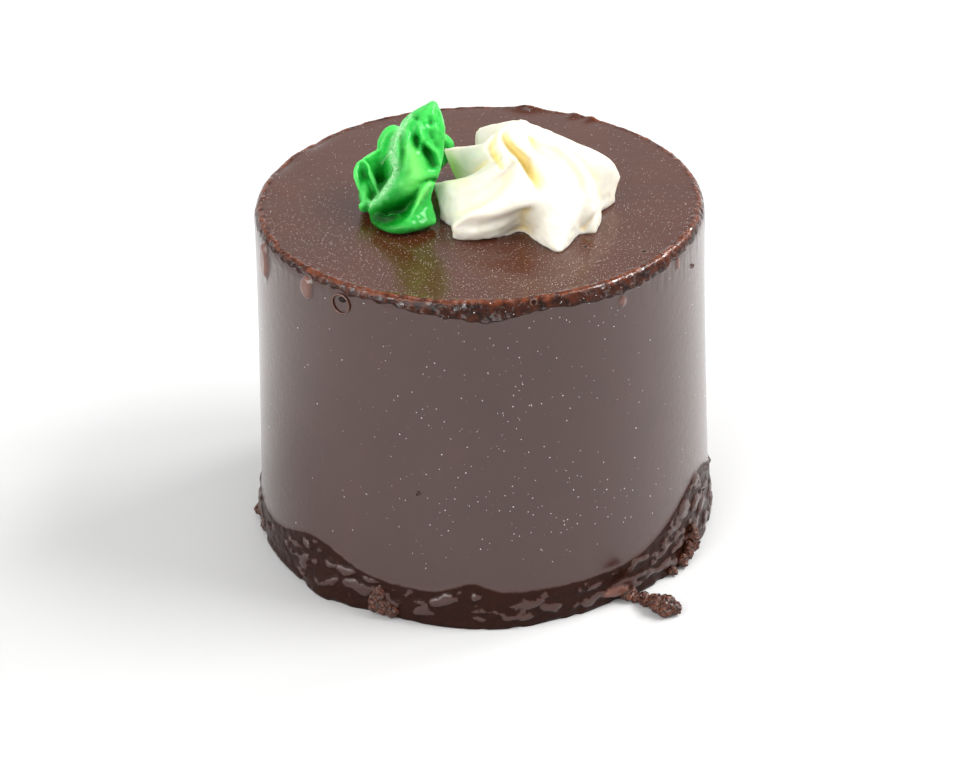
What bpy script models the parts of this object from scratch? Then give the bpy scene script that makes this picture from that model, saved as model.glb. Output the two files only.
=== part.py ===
import math

import bmesh
import bpy
from mathutils import Vector

# Every length below is in millimetres and every angle in degrees; MM turns a length into metres.
# Azimuths of the cake run from the front (-Y) towards +X, those of the cream from +X towards +Y.
MM = 0.001
GAP = 0.3
SHARP_ANGLE = math.radians(50)

GLAZE_COLOUR = (0.03, 0.012, 0.008)
CREAM_COLOUR = (0.9, 0.85, 0.7)
LEAF_COLOUR = (0.03, 0.45, 0.06)

# Glazed cake
HEIGHT = 46.15
TOP_RADIUS = 28.1
WALL_RADIUS = 29.15
FOOT_RADIUS = 30.35
FOOT_FLARE = 1.5
FOOT_ROUND = 0.3
RIM_DROP = 1.9
CAKE_COLUMNS = 112
WALL_LEVELS = (0.35, 1.3, 2.3, 3.3, 4.3, 5.4, 6.6, 7.9, 9.4, 11.2, 14.0, 20.0, 28.0, 36.0, 39.5, 41.4, 42.8)
RIM_STEPS = 4
TOP_RINGS = (26.4, 20.0, 12.0, 5.0)

# Wavy glaze gathered round the foot: (azimuth, extra height, spread) of each swelling of its upper edge
SKIRT_HEIGHT = 5.3
SKIRT_THICKNESS = 0.35
SKIRT_WAVE = 0.19
SKIRT_FADE = 1.8
SKIRT_SWELLS = ((-47, 3.0, 13), (-4, 1.4, 5), (68, 6.2, 19), (128, 2.4, 14), (186, 3.2, 16), (238, 1.8, 12))
# (azimuth, extra radius, spread) where the glaze has run out or drawn in at the floor
FOOT_BULGES = ((-43, 0.9, 8), (-27, -0.5, 6), (2, 0.7, 15), (31, -0.5, 6), (140, 0.5, 15), (215, 0.6, 14))

# Glaze drips under the rim: azimuth, top, bottom, half width, thickness
DRIPS = ((-70, 45.2, 40.2, 0.75, 0.45), (-48, 46.0, 42.7, 1.0, 0.5), (-36.5, 44.7, 43.0, 1.1, 0.35),
         (36.8, 43.6, 42.4, 0.5, 0.3), (58, 45.1, 43.2, 0.6, 0.3), (152, 45.5, 41.6, 0.9, 0.45))
# Unevenness of the rim seen against the light: azimuth, rise, spread
RIM_NIBS = ((166, 0.5, 3.5), (152, 0.35, 1.6), (147, 0.3, 1.4), (230, -0.25, 6), (247, -0.25, 5))

# Crumbs pressed out at the foot: azimuth, distance from the axis, radius, height
CRUMBS = ((36.5, 30.4, 2.0, 1.5), (41.5, 30.8, 2.2, 1.8), (38.3, 32.0, 2.1, 1.6), (43.0, 32.8, 2.0, 1.5),
          (39.8, 33.9, 2.0, 1.5), (43.2, 35.0, 1.7, 1.3), (40.4, 35.9, 1.5, 1.1), (36.8, 33.4, 1.2, 0.9),
          (62.0, 30.3, 1.7, 1.9), (-86.0, 30.2, 1.2, 1.2), (-79.0, 29.7, 1.0, 0.9))
CRUMB_SQUASH = 0.9

# Cream rosette: where it sits, its height, and how far its valleys draw in
CREAM_CENTRE = (6.5, -3.5)
CREAM_PEAK = (5.5, -3.5)
CREAM_HEIGHT = 12.0
CREAM_NIB = 0.5
CREAM_VALLEY = 0.6
CREAM_VALLEY_RISE = 0.5
VALLEY_AT_FOOT = 0.7
VALLEY_AT_PEAK = 0.38
VALLEY_SHIFT = (0.12, 0.5)
ROUND_SIDE = 1.9
STEEP_SIDE = 1.4
UNDERCUT = 0.07
CREAM_RIDGES = (
    # azimuth at four heights, reach, lift of the tip, rise, depth of the valley after the ridge
    ((13, 4, 3, 14), 12.2, 2.8, 0.55, 1.0),
    ((58, 58, 58, 62), 11.0, 0.8, 0.5, 0.9),
    ((122, 122, 122, 125), 13.0, 5.8, 0.8, 1.0),
    ((151, 151, 156, 180), 12.0, 5.4, 1.5, 1.0),
    ((180, 184, 201, 232), 12.6, 3.9, 1.4, 0.5),
    ((219, 244, 264, 247), 12.2, 0.5, 0.45, 1.0),
    ((283, 296, 284, 268), 12.4, 0.3, 0.36, 1.0),
    ((320, 329, 338, 345), 10.9, 0.3, 0.36, 0.9),
)
AZIMUTH_HEIGHTS = (0.0, 0.25, 0.46, 0.72)
COLUMNS_PER_RIDGE = 8
CREAM_ROWS = 16
LAST_CREAM_RING = 0.97

# Green leaf: curved sheets, each a row of stations (left margin, middle, right margin)
BLADE = (
    ((-6.3, -2.6, 14.6), (-5.8, -2.9, 14.9), (-5.3, -2.5, 14.4)),
    ((-8.9, -3.0, 13.1), (-6.4, -4.2, 13.5), (-4.6, -3.0, 12.8)),
    ((-10.1, -4.0, 11.4), (-7.1, -5.5, 11.8), (-4.3, -3.7, 10.9)),
    ((-10.8, -5.0, 9.1), (-8.3, -6.8, 9.5), (-4.4, -4.6, 8.6)),
    ((-11.0, -6.0, 6.4), (-8.4, -7.7, 6.6), (-4.9, -6.0, 6.4)),
    ((-12.4, -6.9, 4.1), (-9.1, -8.3, 4.2), (-6.1, -7.3, 3.8)),
    ((-14.0, -7.4, 2.3), (-9.7, -9.5, 2.6), (-5.9, -8.0, 2.0)),
    ((-13.9, -8.0, 0.9), (-9.9, -10.8, 1.0), (-5.5, -8.7, 0.8)),
    ((-13.0, -8.4, 0.05), (-9.9, -10.2, 0.05), (-5.9, -8.2, 0.05)),
)
# Folds of the blade: from (across, along) to (across, along), width, height; a hollow has a negative height
BLADE_FOLDS = (
    (0.18, 0.86, 0.68, 0.70, 1.1, -1.3),
    (0.66, 0.37, 0.74, 0.47, 0.8, -1.0),
    (0.42, 0.18, 0.46, 0.34, 0.6, -0.6),
    (0.58, 0.10, 0.62, 0.34, 0.6, 0.5),
    (0.84, 0.46, 0.80, 0.56, 1.0, 0.6),
    (0.10, 0.20, 0.12, 0.60, 0.5, -0.4),
)
CUP = (
    ((-14.2, -5.6, 0.6), (-12.5, -4.6, 0.4), (-11.9, -5.9, 2.9)),
    ((-15.3, -3.4, 1.8), (-13.1, -2.2, 1.2), (-12.5, -4.0, 4.2)),
    ((-15.9, -1.4, 3.4), (-14.0, 0.2, 2.6), (-13.3, -2.0, 5.2)),
    ((-15.7, 0.0, 4.6), (-14.7, 1.0, 4.2), (-13.9, -0.4, 5.6)),
)
HOLLOW = (
    ((-12.8, -5.5, 2.3), (-11.5, -4.6, 2.0), (-11.6, -6.4, 4.4)),
    ((-13.5, -3.4, 3.7), (-11.5, -2.2, 2.8), (-10.8, -4.9, 6.6)),
    ((-14.3, -1.3, 4.8), (-11.9, 0.6, 3.8), (-10.4, -3.2, 8.8)),
    ((-14.7, 0.4, 5.0), (-12.0, 2.4, 5.0), (-10.0, -1.0, 9.6)),
)
BACK_LOBE = (
    ((-13.4, 0.6, 0.6), (-12.2, 2.4, 0.6), (-9.2, 3.2, 0.6)),
    ((-13.3, 2.2, 3.6), (-12.2, 3.4, 3.8), (-9.0, 3.4, 4.0)),
    ((-12.8, 3.6, 6.2), (-11.6, 4.4, 6.4), (-9.0, 3.4, 6.6)),
    ((-12.1, 4.0, 7.6), (-11.2, 4.4, 7.9), (-9.8, 3.8, 7.7)),
)
SIDE_LOBE = (
    ((-10.0, 1.6, 0.6), (-10.4, 2.0, 3.2), (-10.0, 1.6, 6.2)),
    ((-7.2, 4.6, 0.6), (-7.4, 4.9, 3.4), (-7.2, 4.6, 6.4)),
    ((-4.6, 6.3, 1.2), (-4.5, 6.9, 3.9), (-4.6, 6.3, 6.3)),
    ((-3.3, 6.4, 3.0), (-3.0, 6.6, 4.2), (-3.3, 6.4, 5.2)),
)
# Masses of icing inside the sheets: centre, half sizes
LEAF_CORES = (
    ((-9.8, -3.2, 2.7), (3.0, 6.0, 2.6)),
    ((-8.2, -2.9, 6.2), (2.3, 2.6, 6.0)),
    ((-10.0, 1.6, 3.0), (3.0, 2.8, 2.9)),
)
SHEET_COLUMNS = 12
SHEET_ROWS = 3
NUDGE = 0.01
# Rough width and length by which a fold's place on the blade is measured
SHEET_SPAN = 7.0
SHEET_LENGTH = 18.0
# Share of a sheet's thickness that is left at its margins and at its ends
MARGIN_SHARE = 0.5
END_SHARE = 0.45
# Skin that merges the sheets, and the share of its faces that is kept
LEAF_SKIN = 0.33
LEAF_FACE_SHARE = 0.2


def clear_scene():
    for item in list(bpy.data.objects):
        bpy.data.objects.remove(item, do_unlink=True)


def food_material(name, colour, roughness):
    material = bpy.data.materials.new(name)
    material.use_nodes = True
    shader = material.node_tree.nodes["Principled BSDF"]
    shader.inputs["Base Color"].default_value = (*colour, 1.0)
    shader.inputs["Roughness"].default_value = roughness
    shader.inputs["Metallic"].default_value = 0.0
    return material


def smooth_step(value):
    value = min(max(value, 0.0), 1.0)
    return value * value * (3.0 - 2.0 * value)


def angle_between(first, second):
    return (first - second + 180.0) % 360.0 - 180.0


def swell(azimuth, bumps):
    return sum(size * math.exp(-(angle_between(azimuth, at) / spread) ** 2) for at, size, spread in bumps)


def object_from_rings(name, rings):
    """Closed solid through rings of points; a ring of one point closes an end to a tip."""
    mesh_builder = bmesh.new()
    rows = [[mesh_builder.verts.new(Vector(point) * MM) for point in ring] for ring in rings]
    for lower, upper in zip(rows, rows[1:]):
        count = max(len(lower), len(upper))
        for i in range(count):
            corners = [lower[i % len(lower)], lower[(i + 1) % len(lower)],
                       upper[(i + 1) % len(upper)], upper[i % len(upper)]]
            mesh_builder.faces.new(list(dict.fromkeys(corners)))
    for end in (rows[0], rows[-1]):
        if len(end) > 2:
            mesh_builder.faces.new(end)
    bmesh.ops.recalc_face_normals(mesh_builder, faces=mesh_builder.faces)
    if mesh_builder.calc_volume(signed=True) < 0:
        bmesh.ops.reverse_faces(mesh_builder, faces=mesh_builder.faces)
    bmesh.ops.triangulate(mesh_builder, faces=mesh_builder.faces)
    mesh = bpy.data.meshes.new(name)
    mesh_builder.to_mesh(mesh)
    mesh_builder.free()
    mesh.shade_smooth()
    mesh.set_sharp_from_angle(angle=SHARP_ANGLE)
    solid = bpy.data.objects.new(name, mesh)
    bpy.context.scene.collection.objects.link(solid)
    return solid


def lumpy_ball(name, centre, radii, turn=0.0):
    mesh_builder = bmesh.new()
    bmesh.ops.create_icosphere(mesh_builder, subdivisions=2, radius=1.0)
    for vertex in mesh_builder.verts:
        x, y, z = vertex.co
        lump = 1.0 + 0.09 * math.sin(5.0 * x + turn) * math.cos(4.0 * y + 2.0 * z + turn)
        place = [centre[i] + radii[i] * lump * (x, y, z)[i] for i in range(3)]
        vertex.co = Vector(place) * MM
    mesh = bpy.data.meshes.new(name)
    mesh_builder.to_mesh(mesh)
    mesh_builder.free()
    mesh.shade_smooth()
    ball = bpy.data.objects.new(name, mesh)
    bpy.context.scene.collection.objects.link(ball)
    return ball


def fuse(base, extras):
    """Joins the extras to the base with one union, which is applied."""
    group = bpy.data.collections.new(base.name + "_extras")
    for extra in extras:
        group.objects.link(extra)
    union = base.modifiers.new("union", "BOOLEAN")
    union.operation = "UNION"
    union.solver = "EXACT"
    union.operand_type = "COLLECTION"
    union.collection = group
    evaluated = base.evaluated_get(bpy.context.evaluated_depsgraph_get())
    fused = bpy.data.meshes.new_from_object(evaluated)
    base.modifiers.remove(union)
    base.data = fused
    for extra in extras:
        bpy.data.objects.remove(extra, do_unlink=True)
    bpy.data.collections.remove(group)


def wall_radius(azimuth, level):
    """Distance of the glaze from the cake's axis at a height on its side."""
    climb = level / (HEIGHT - RIM_DROP)
    radius = WALL_RADIUS + (FOOT_RADIUS - WALL_RADIUS) * max(0.0, 1.0 - climb) ** FOOT_FLARE
    radius += swell(azimuth, FOOT_BULGES) * (1.0 - smooth_step(level / 7.0))
    skirt_top = SKIRT_HEIGHT + swell(azimuth, SKIRT_SWELLS)
    inside_skirt = 1.0 - smooth_step((level - skirt_top) / SKIRT_FADE + 0.8)
    turn = math.radians(azimuth)
    wave = math.sin(23.0 * turn + 1.1 * level) * math.cos(1.9 * level + 2.0 * math.sin(7.0 * turn))
    wave += 0.6 * math.sin(37.0 * turn - 0.8 * level + 1.0)
    radius += inside_skirt * (SKIRT_THICKNESS + SKIRT_WAVE * wave * smooth_step(level / SKIRT_FADE))
    for at, top, bottom, half_width, thickness in DRIPS:
        across = math.radians(angle_between(azimuth, at)) * radius / half_width
        middle = 0.5 * (top + bottom)
        along = (level - middle) / (0.5 * (top - bottom) + half_width)
        radius += thickness * math.exp(-across * across - along ** 4)
    return radius


def cake_ring(radius_of, height_of):
    points = []
    for column in range(CAKE_COLUMNS):
        azimuth = 360.0 * column / CAKE_COLUMNS
        turn = math.radians(azimuth)
        radius = radius_of(azimuth)
        points.append((radius * math.sin(turn), -radius * math.cos(turn), height_of(azimuth)))
    return points


def cake_body():
    rings = [cake_ring(lambda azimuth: wall_radius(azimuth, 0.0) - FOOT_ROUND, lambda azimuth: 0.0)]
    for level in WALL_LEVELS:
        rings.append(cake_ring(lambda azimuth: wall_radius(azimuth, level), lambda azimuth: level))
    for step in range(RIM_STEPS + 1):
        turn = math.radians(90.0 * step / RIM_STEPS)
        drop = RIM_DROP * (1.0 - math.sin(turn))
        inward = (WALL_RADIUS - TOP_RADIUS) * (1.0 - math.cos(turn))
        level = HEIGHT - drop
        rings.append(cake_ring(
            lambda azimuth: wall_radius(azimuth, level) - inward,
            lambda azimuth: level + swell(azimuth, RIM_NIBS) * math.sin(turn)))
    for radius in TOP_RINGS:
        rings.append(cake_ring(lambda azimuth: radius, lambda azimuth: HEIGHT))
    rings.append([(0.0, 0.0, HEIGHT)])
    body = object_from_rings("cake_body", rings)
    crumbs = []
    for number, (azimuth, distance, radius, height) in enumerate(CRUMBS):
        turn = math.radians(azimuth)
        centre = (distance * math.sin(turn), -distance * math.cos(turn), height)
        crumbs.append(lumpy_ball("crumb", centre, (radius, radius, height * CRUMB_SQUASH), number))
    fuse(body, crumbs)
    return body


def ridge_azimuth(ridge, climb):
    azimuths = ridge[0]
    for i in range(len(AZIMUTH_HEIGHTS) - 1):
        if climb < AZIMUTH_HEIGHTS[i + 1]:
            share = (climb - AZIMUTH_HEIGHTS[i]) / (AZIMUTH_HEIGHTS[i + 1] - AZIMUTH_HEIGHTS[i])
            return azimuths[i] + (azimuths[i + 1] - azimuths[i]) * smooth_step(share)
    return azimuths[-1]


def crest_share(across, climb):
    """1 on a ridge and 0 in its valley, which lies nearer to the ridge towards the peak."""
    shift = smooth_step((climb - VALLEY_SHIFT[0]) / (VALLEY_SHIFT[1] - VALLEY_SHIFT[0]))
    valley = VALLEY_AT_FOOT + (VALLEY_AT_PEAK - VALLEY_AT_FOOT) * shift
    if across < valley:
        return 1.0 - (across / valley) ** ROUND_SIDE
    return ((across - valley) / (1.0 - valley)) ** STEEP_SIDE


def cream_point(azimuth, radius, level, climb):
    shift = smooth_step(climb)
    x = CREAM_CENTRE[0] + (CREAM_PEAK[0] - CREAM_CENTRE[0]) * shift
    y = CREAM_CENTRE[1] + (CREAM_PEAK[1] - CREAM_CENTRE[1]) * shift
    turn = math.radians(azimuth)
    return (x + radius * math.cos(turn), y + radius * math.sin(turn), HEIGHT + GAP + level)


def cream_ring(climb, under=0.0):
    """One ring round the rosette; under runs from 0 at the ridge tips to 1 at the foot below them."""
    points = []
    for number, ridge in enumerate(CREAM_RIDGES):
        following = CREAM_RIDGES[(number + 1) % len(CREAM_RIDGES)]
        full_turn = 360.0 if number == len(CREAM_RIDGES) - 1 else 0.0
        for column in range(COLUMNS_PER_RIDGE):
            across = column / COLUMNS_PER_RIDGE
            share = crest_share(across, climb)
            start = ridge_azimuth(ridge, climb)
            end = ridge_azimuth(following, climb) + full_turn
            reach, lift, rise = (ridge[i] + (following[i] - ridge[i]) * across for i in (1, 2, 3))
            rise = CREAM_VALLEY_RISE + (rise - CREAM_VALLEY_RISE) * share
            lift *= share
            drawn_in = (1.0 - CREAM_VALLEY) * ridge[4] * (1.0 - share) + UNDERCUT * under * lift
            radius = reach * (1.0 - drawn_in) * (1.0 - climb)
            level = lift * (1.0 - under) + (CREAM_HEIGHT - lift) * climb ** rise
            points.append(cream_point(start + (end - start) * across, radius, level, climb))
    return points


def cream_rosette():
    rings = [cream_ring(0.0, 1.0), cream_ring(0.0, 0.5)]
    for row in range(CREAM_ROWS):
        rings.append(cream_ring(LAST_CREAM_RING * (row / (CREAM_ROWS - 1)) ** 2))
    rings.append([cream_point(0.0, 0.0, CREAM_HEIGHT + CREAM_NIB, 1.0)])
    return object_from_rings("cream_rosette", rings)


def between(first, second, share):
    return tuple(a + (b - a) * share for a, b in zip(first, second))


def eased_station(stations, place):
    """Left margin, middle and right margin at a place along a sheet, on a smooth curve."""
    index = min(max(int(place), 0), len(stations) - 2)
    share = place - index
    before = stations[max(index - 1, 0)]
    after = stations[min(index + 2, len(stations) - 1)]
    blended = []
    for p0, p1, p2, p3 in zip(before, stations[index], stations[index + 1], after):
        blended.append(tuple(
            0.5 * (2 * b + (c - a) * share + (2 * a - 5 * b + 4 * c - d) * share ** 2
                   + (3 * b - a - 3 * c + d) * share ** 3)
            for a, b, c, d in zip(p0, p1, p2, p3)))
    return blended


def fold_height(folds, across, along):
    """Height of the folds at a place on a sheet, each a soft ridge or hollow along its own line."""
    total = 0.0
    for start_across, start_along, end_across, end_along, width, height in folds:
        run = Vector(((end_across - start_across) * SHEET_SPAN, (end_along - start_along) * SHEET_LENGTH))
        away = Vector(((across - start_across) * SHEET_SPAN, (along - start_along) * SHEET_LENGTH))
        share = min(max(away.dot(run) / run.length_squared, 0.0), 1.0)
        total += height * math.exp(-((away - run * share).length / width) ** 2)
    return total


def sheet_point(stations, across, along, folds, behind):
    left, middle, right = eased_station(stations, along * (len(stations) - 1))
    half_chord = between(left, right, 0.5)
    bulge = 4.0 * across * (1.0 - across)
    fold = fold_height(folds, across, along)
    return Vector([
        left[i] + (right[i] - left[i]) * across + (middle[i] - half_chord[i]) * bulge - behind[i] * fold
        for i in range(3)])


def sheet_normal(stations, across, along, behind):
    """Direction square to a sheet without its folds, on the side that lies behind it."""
    beside = across + math.copysign(NUDGE, 0.5 - across)
    beyond = along + math.copysign(NUDGE, 0.5 - along)
    place = sheet_point(stations, across, along, (), behind)
    sideways = sheet_point(stations, beside, along, (), behind) - place
    onwards = sheet_point(stations, across, beyond, (), behind) - place
    normal = sideways.cross(onwards).normalized()
    if normal.dot(Vector(behind)) < 0:
        normal.negate()
    return normal


def curved_sheet(name, stations, thickness, behind, square=0.0, folds=()):
    """Sheet through its stations, thickened straight behind, or square to itself where square is 1."""
    rings = []
    steps = (len(stations) - 1) * SHEET_ROWS
    lift = Vector((0.0, 0.0, HEIGHT + GAP))
    for row in range(steps + 1):
        along = row / steps
        front = []
        back = []
        fullness = END_SHARE + (1.0 - END_SHARE) * math.sqrt(math.sin(math.pi * (row + 0.5) / (steps + 1)))
        for column in range(SHEET_COLUMNS + 1):
            across = column / SHEET_COLUMNS
            place = sheet_point(stations, across, along, folds, behind)
            inward = Vector(behind).lerp(sheet_normal(stations, across, along, behind), square).normalized()
            bulge = 4.0 * across * (1.0 - across)
            depth = thickness * fullness * (MARGIN_SHARE + (1.0 - MARGIN_SHARE) * math.sqrt(bulge))
            under = place + inward * depth
            place.z = max(place.z, 0.0)
            under.z = max(under.z, 0.0)
            front.append(place + lift)
            back.append(under + lift)
        rings.append(front + back[::-1])
    return object_from_rings(name, rings)


def soften_together(solid, extras):
    """Merges the extras into the solid as soft icing does, with one skin round them all."""
    mesh_builder = bmesh.new()
    for shape in [solid] + extras:
        mesh_builder.from_mesh(shape.data)
    mesh_builder.to_mesh(solid.data)
    mesh_builder.free()
    for extra in extras:
        bpy.data.objects.remove(extra, do_unlink=True)
    skin = solid.modifiers.new("skin", "REMESH")
    skin.mode = "VOXEL"
    skin.voxel_size = LEAF_SKIN * MM
    skin.use_smooth_shade = True
    soften = solid.modifiers.new("soften", "SMOOTH")
    soften.factor = 0.5
    soften.iterations = 3
    thin = solid.modifiers.new("thin", "DECIMATE")
    thin.ratio = LEAF_FACE_SHARE


def leaf_piping():
    leaf = curved_sheet("leaf_piping", BLADE, 2.7, (0.05, 1.0, 0.0), folds=BLADE_FOLDS)
    lobes = [
        curved_sheet("cup", CUP, 1.3, (0.3, 0.5, -0.55), square=1.0),
        curved_sheet("hollow", HOLLOW, 1.8, (0.5, 0.6, -0.6), square=0.6),
        curved_sheet("back_lobe", BACK_LOBE, 1.7, (0.45, -0.9, 0.0)),
        curved_sheet("side_lobe", SIDE_LOBE, 1.9, (-0.4, -0.9, 0.0)),
    ]
    for number, (centre, radii) in enumerate(LEAF_CORES):
        place = (centre[0], centre[1], HEIGHT + GAP + centre[2])
        lobes.append(lumpy_ball("core", place, radii, number))
    soften_together(leaf, lobes)
    return leaf


def chocolate_cake():
    clear_scene()
    cake_body().data.materials.append(food_material("dark_glaze", GLAZE_COLOUR, 0.22))
    cream_rosette().data.materials.append(food_material("white_cream", CREAM_COLOUR, 0.45))
    leaf_piping().data.materials.append(food_material("green_icing", LEAF_COLOUR, 0.35))


chocolate_cake()
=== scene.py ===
import math

import bmesh
import bpy
import numpy as np
from mathutils import Matrix, Vector, noise
from mathutils.bvhtree import BVHTree


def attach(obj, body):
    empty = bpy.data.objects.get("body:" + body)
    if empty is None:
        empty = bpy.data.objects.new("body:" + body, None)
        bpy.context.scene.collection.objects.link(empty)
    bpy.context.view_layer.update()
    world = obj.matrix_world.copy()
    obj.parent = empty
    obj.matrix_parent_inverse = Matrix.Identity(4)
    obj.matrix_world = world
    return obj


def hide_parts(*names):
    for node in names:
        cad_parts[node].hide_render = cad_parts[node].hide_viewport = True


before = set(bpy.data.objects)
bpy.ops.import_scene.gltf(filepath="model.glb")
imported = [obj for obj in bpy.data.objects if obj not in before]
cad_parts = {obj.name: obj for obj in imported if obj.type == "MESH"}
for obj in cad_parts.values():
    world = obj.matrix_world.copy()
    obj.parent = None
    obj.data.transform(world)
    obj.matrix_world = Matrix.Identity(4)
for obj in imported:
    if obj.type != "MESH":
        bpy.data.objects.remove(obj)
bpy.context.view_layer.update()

# Lengths in the dictionaries are millimetres, angles are degrees.
# Azimuths of the cake run from the front (-Y) towards +X, those of the cream from +X towards +Y.
mm = 0.001

# the camera stands where the photograph was taken from: place in metres, lens and sensor in millimetres,
# frame in pixels, clip in metres
view = {
    "place": (0.0, -0.39414, 0.24022), "lens": 127.21, "sensor": 36.0, "frame": (960, 768),
    "right": (0.999792, -0.009214, -0.018195), "up": (0.020376, 0.489999, 0.871485),
    "forward": (-0.000885, 0.871674, -0.490085), "clip": (0.01, 20.0),
}


def smoothStep(value, low=0.0, high=1.0):
    share = np.clip((value - low) / (high - low), 0.0, 1.0)
    return share * share * (3.0 - 2.0 * share)


def angleBetween(first, second):
    return (first - second + 180.0) % 360.0 - 180.0


def swell(azimuth, bumps):
    return sum(size * np.exp(-(angleBetween(azimuth, at) / spread) ** 2) for at, size, spread in bumps)


def noiseAt(points, scale, shift=0.0):
    # smooth noise, about -1 to 1, at each row of points; scale is the size of its features on each axis
    # and shift picks another part of the noise
    sized = points / np.asarray(scale, float) + shift
    return np.array([noise.noise(Vector(row)) for row in sized.tolist()])


def aroundCake(azimuth, radius, level):
    turn = np.radians(azimuth)
    places = np.broadcast_arrays(radius * np.sin(turn), -radius * np.cos(turn), level)
    return np.stack(places, axis=-1)


def addObject(name, data):
    made = bpy.data.objects.new(name, data)
    bpy.context.scene.collection.objects.link(made)
    return made


def objectFromMesh(name, vertices, faces, smooth=True):
    mesh = bpy.data.meshes.new(name)
    mesh.from_pydata((np.asarray(vertices) * mm).tolist(), [], faces)
    mesh.update()
    if smooth:
        mesh.shade_smooth()
    return addObject(name, mesh)


def makeBall(name, place):
    # ball of radius 1 with each of its points put where the function place says, in millimetres
    builder = bmesh.new()
    bmesh.ops.create_icosphere(builder, subdivisions=3, radius=1.0)
    for vertex in builder.verts:
        vertex.co = Vector(place(vertex.co)) * mm
    mesh = bpy.data.meshes.new(name)
    builder.to_mesh(mesh)
    builder.free()
    return addObject(name, mesh)


def gridFaces(rows, columns):
    # quads between rings of points that run round anticlockwise from above and follow each other upwards
    starts, steps = np.arange(rows - 1)[:, None] * columns, np.arange(columns)[None, :]
    here, across = starts + steps, starts + (steps + 1) % columns
    quads = np.stack([here, across, across + columns, here + columns], axis=-1)
    return quads.reshape(-1, 4).tolist()


def setAttribute(mesh, name, values):
    layer = mesh.attributes.get(name) or mesh.attributes.new(name, "FLOAT", "POINT")
    layer.data.foreach_set("value", np.asarray(values, np.float32))


def attributeOf(mesh, name):
    values = np.empty(len(mesh.vertices))
    mesh.attributes[name].data.foreach_get("value", values)
    return values


def facesOutwards(mesh):
    # turns every face outwards and joins doubled points
    builder = bmesh.new()
    builder.from_mesh(mesh)
    bmesh.ops.remove_doubles(builder, verts=builder.verts, dist=0.00001 * mm)
    bmesh.ops.recalc_face_normals(builder, faces=builder.faces)
    if builder.calc_volume(signed=True) < 0:
        bmesh.ops.reverse_faces(builder, faces=builder.faces)
    builder.to_mesh(mesh)
    builder.free()


def applyModifiers(piece):
    # leaves the piece with the plain mesh that its modifiers make
    evaluated = piece.evaluated_get(bpy.context.evaluated_depsgraph_get())
    made = bpy.data.meshes.new_from_object(evaluated)
    piece.modifiers.clear()
    piece.data = made
    return piece


def softSkin(piece, voxel, rounds=0):
    # merges whatever overlaps in the piece under one skin and softens it this many times
    skin = piece.modifiers.new("skin", "REMESH")
    skin.mode = "VOXEL"
    skin.voxel_size = voxel * mm
    skin.use_smooth_shade = True
    if rounds:
        soften = piece.modifiers.new("soften", "SMOOTH")
        soften.factor = 0.5
        soften.iterations = rounds
    return applyModifiers(piece)


def joinPieces(name, pieces):
    # one object with the meshes of all the pieces
    builder = bmesh.new()
    for piece in pieces:
        builder.from_mesh(piece.data)
        bpy.data.objects.remove(piece, do_unlink=True)
    mesh = bpy.data.meshes.new(name)
    builder.to_mesh(mesh)
    builder.free()
    mesh.shade_smooth()
    return addObject(name, mesh)


def readVectors(rows, name):
    flat = np.empty(len(rows) * 3)
    rows.foreach_get(name, flat)
    return flat.reshape(-1, 3)


def meshPoints(mesh):
    return readVectors(mesh.vertices, "co")


def meshNormals(mesh):
    return readVectors(mesh.vertex_normals, "vector")


def pushedOut(mesh, points, heights):
    # points, in metres, moved along the mesh's normals by heights in millimetres
    return points + meshNormals(mesh) * (heights * mm)[:, None]


def wobbleAt(points, layers):
    # noise in layers of height, size of features and shift, at points in metres
    return sum(height * noiseAt(points / mm, size, shift) for height, size, shift in layers)


def movePoints(mesh, points):
    mesh.vertices.foreach_set("co", points.reshape(-1))
    mesh.update()


def markHollows(mesh, name, rounds, span):
    # attribute from -1 to 1: how far each point lies under its softened surroundings, measured in spans
    count = len(mesh.vertices)
    edges = np.empty(len(mesh.edges) * 2, np.int32)
    mesh.edges.foreach_get("vertices", edges)
    edges = edges.reshape(-1, 2)
    degree = np.maximum(np.bincount(edges.ravel(), minlength=count), 1)[:, None]
    points = meshPoints(mesh)
    soft = points.copy()
    for _ in range(rounds):
        total = np.stack([
            np.bincount(edges[:, 0], soft[edges[:, 1], axis], count)
            + np.bincount(edges[:, 1], soft[edges[:, 0], axis], count) for axis in range(3)], axis=-1)
        soft = 0.5 * (soft + total / degree)
    depth = ((soft - points) * meshNormals(mesh)).sum(axis=1) / (span * mm)
    setAttribute(mesh, name, np.clip(depth, -1.0, 1.0))


def inPicture(points):
    # where points, in metres, come in the camera's picture
    offset = points - np.array(view["place"])
    pixels = view["lens"] / view["sensor"] * view["frame"][0] / (offset @ np.array(view["forward"]))
    across = 0.5 * view["frame"][0] + pixels * (offset @ np.array(view["right"]))
    down = 0.5 * view["frame"][1] - pixels * (offset @ np.array(view["up"]))
    return np.stack([across, down], axis=-1)


# how strokes act: the facing at which they reach full strength, gaps that keep rays clear of the surface,
# and the depth from which they are held to a share of the thickness behind
brush = {"fullFacing": 0.3, "sightGap": 0.03, "inwardGap": 0.05, "checkedDepth": 0.3, "thicknessShare": 0.6}


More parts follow.
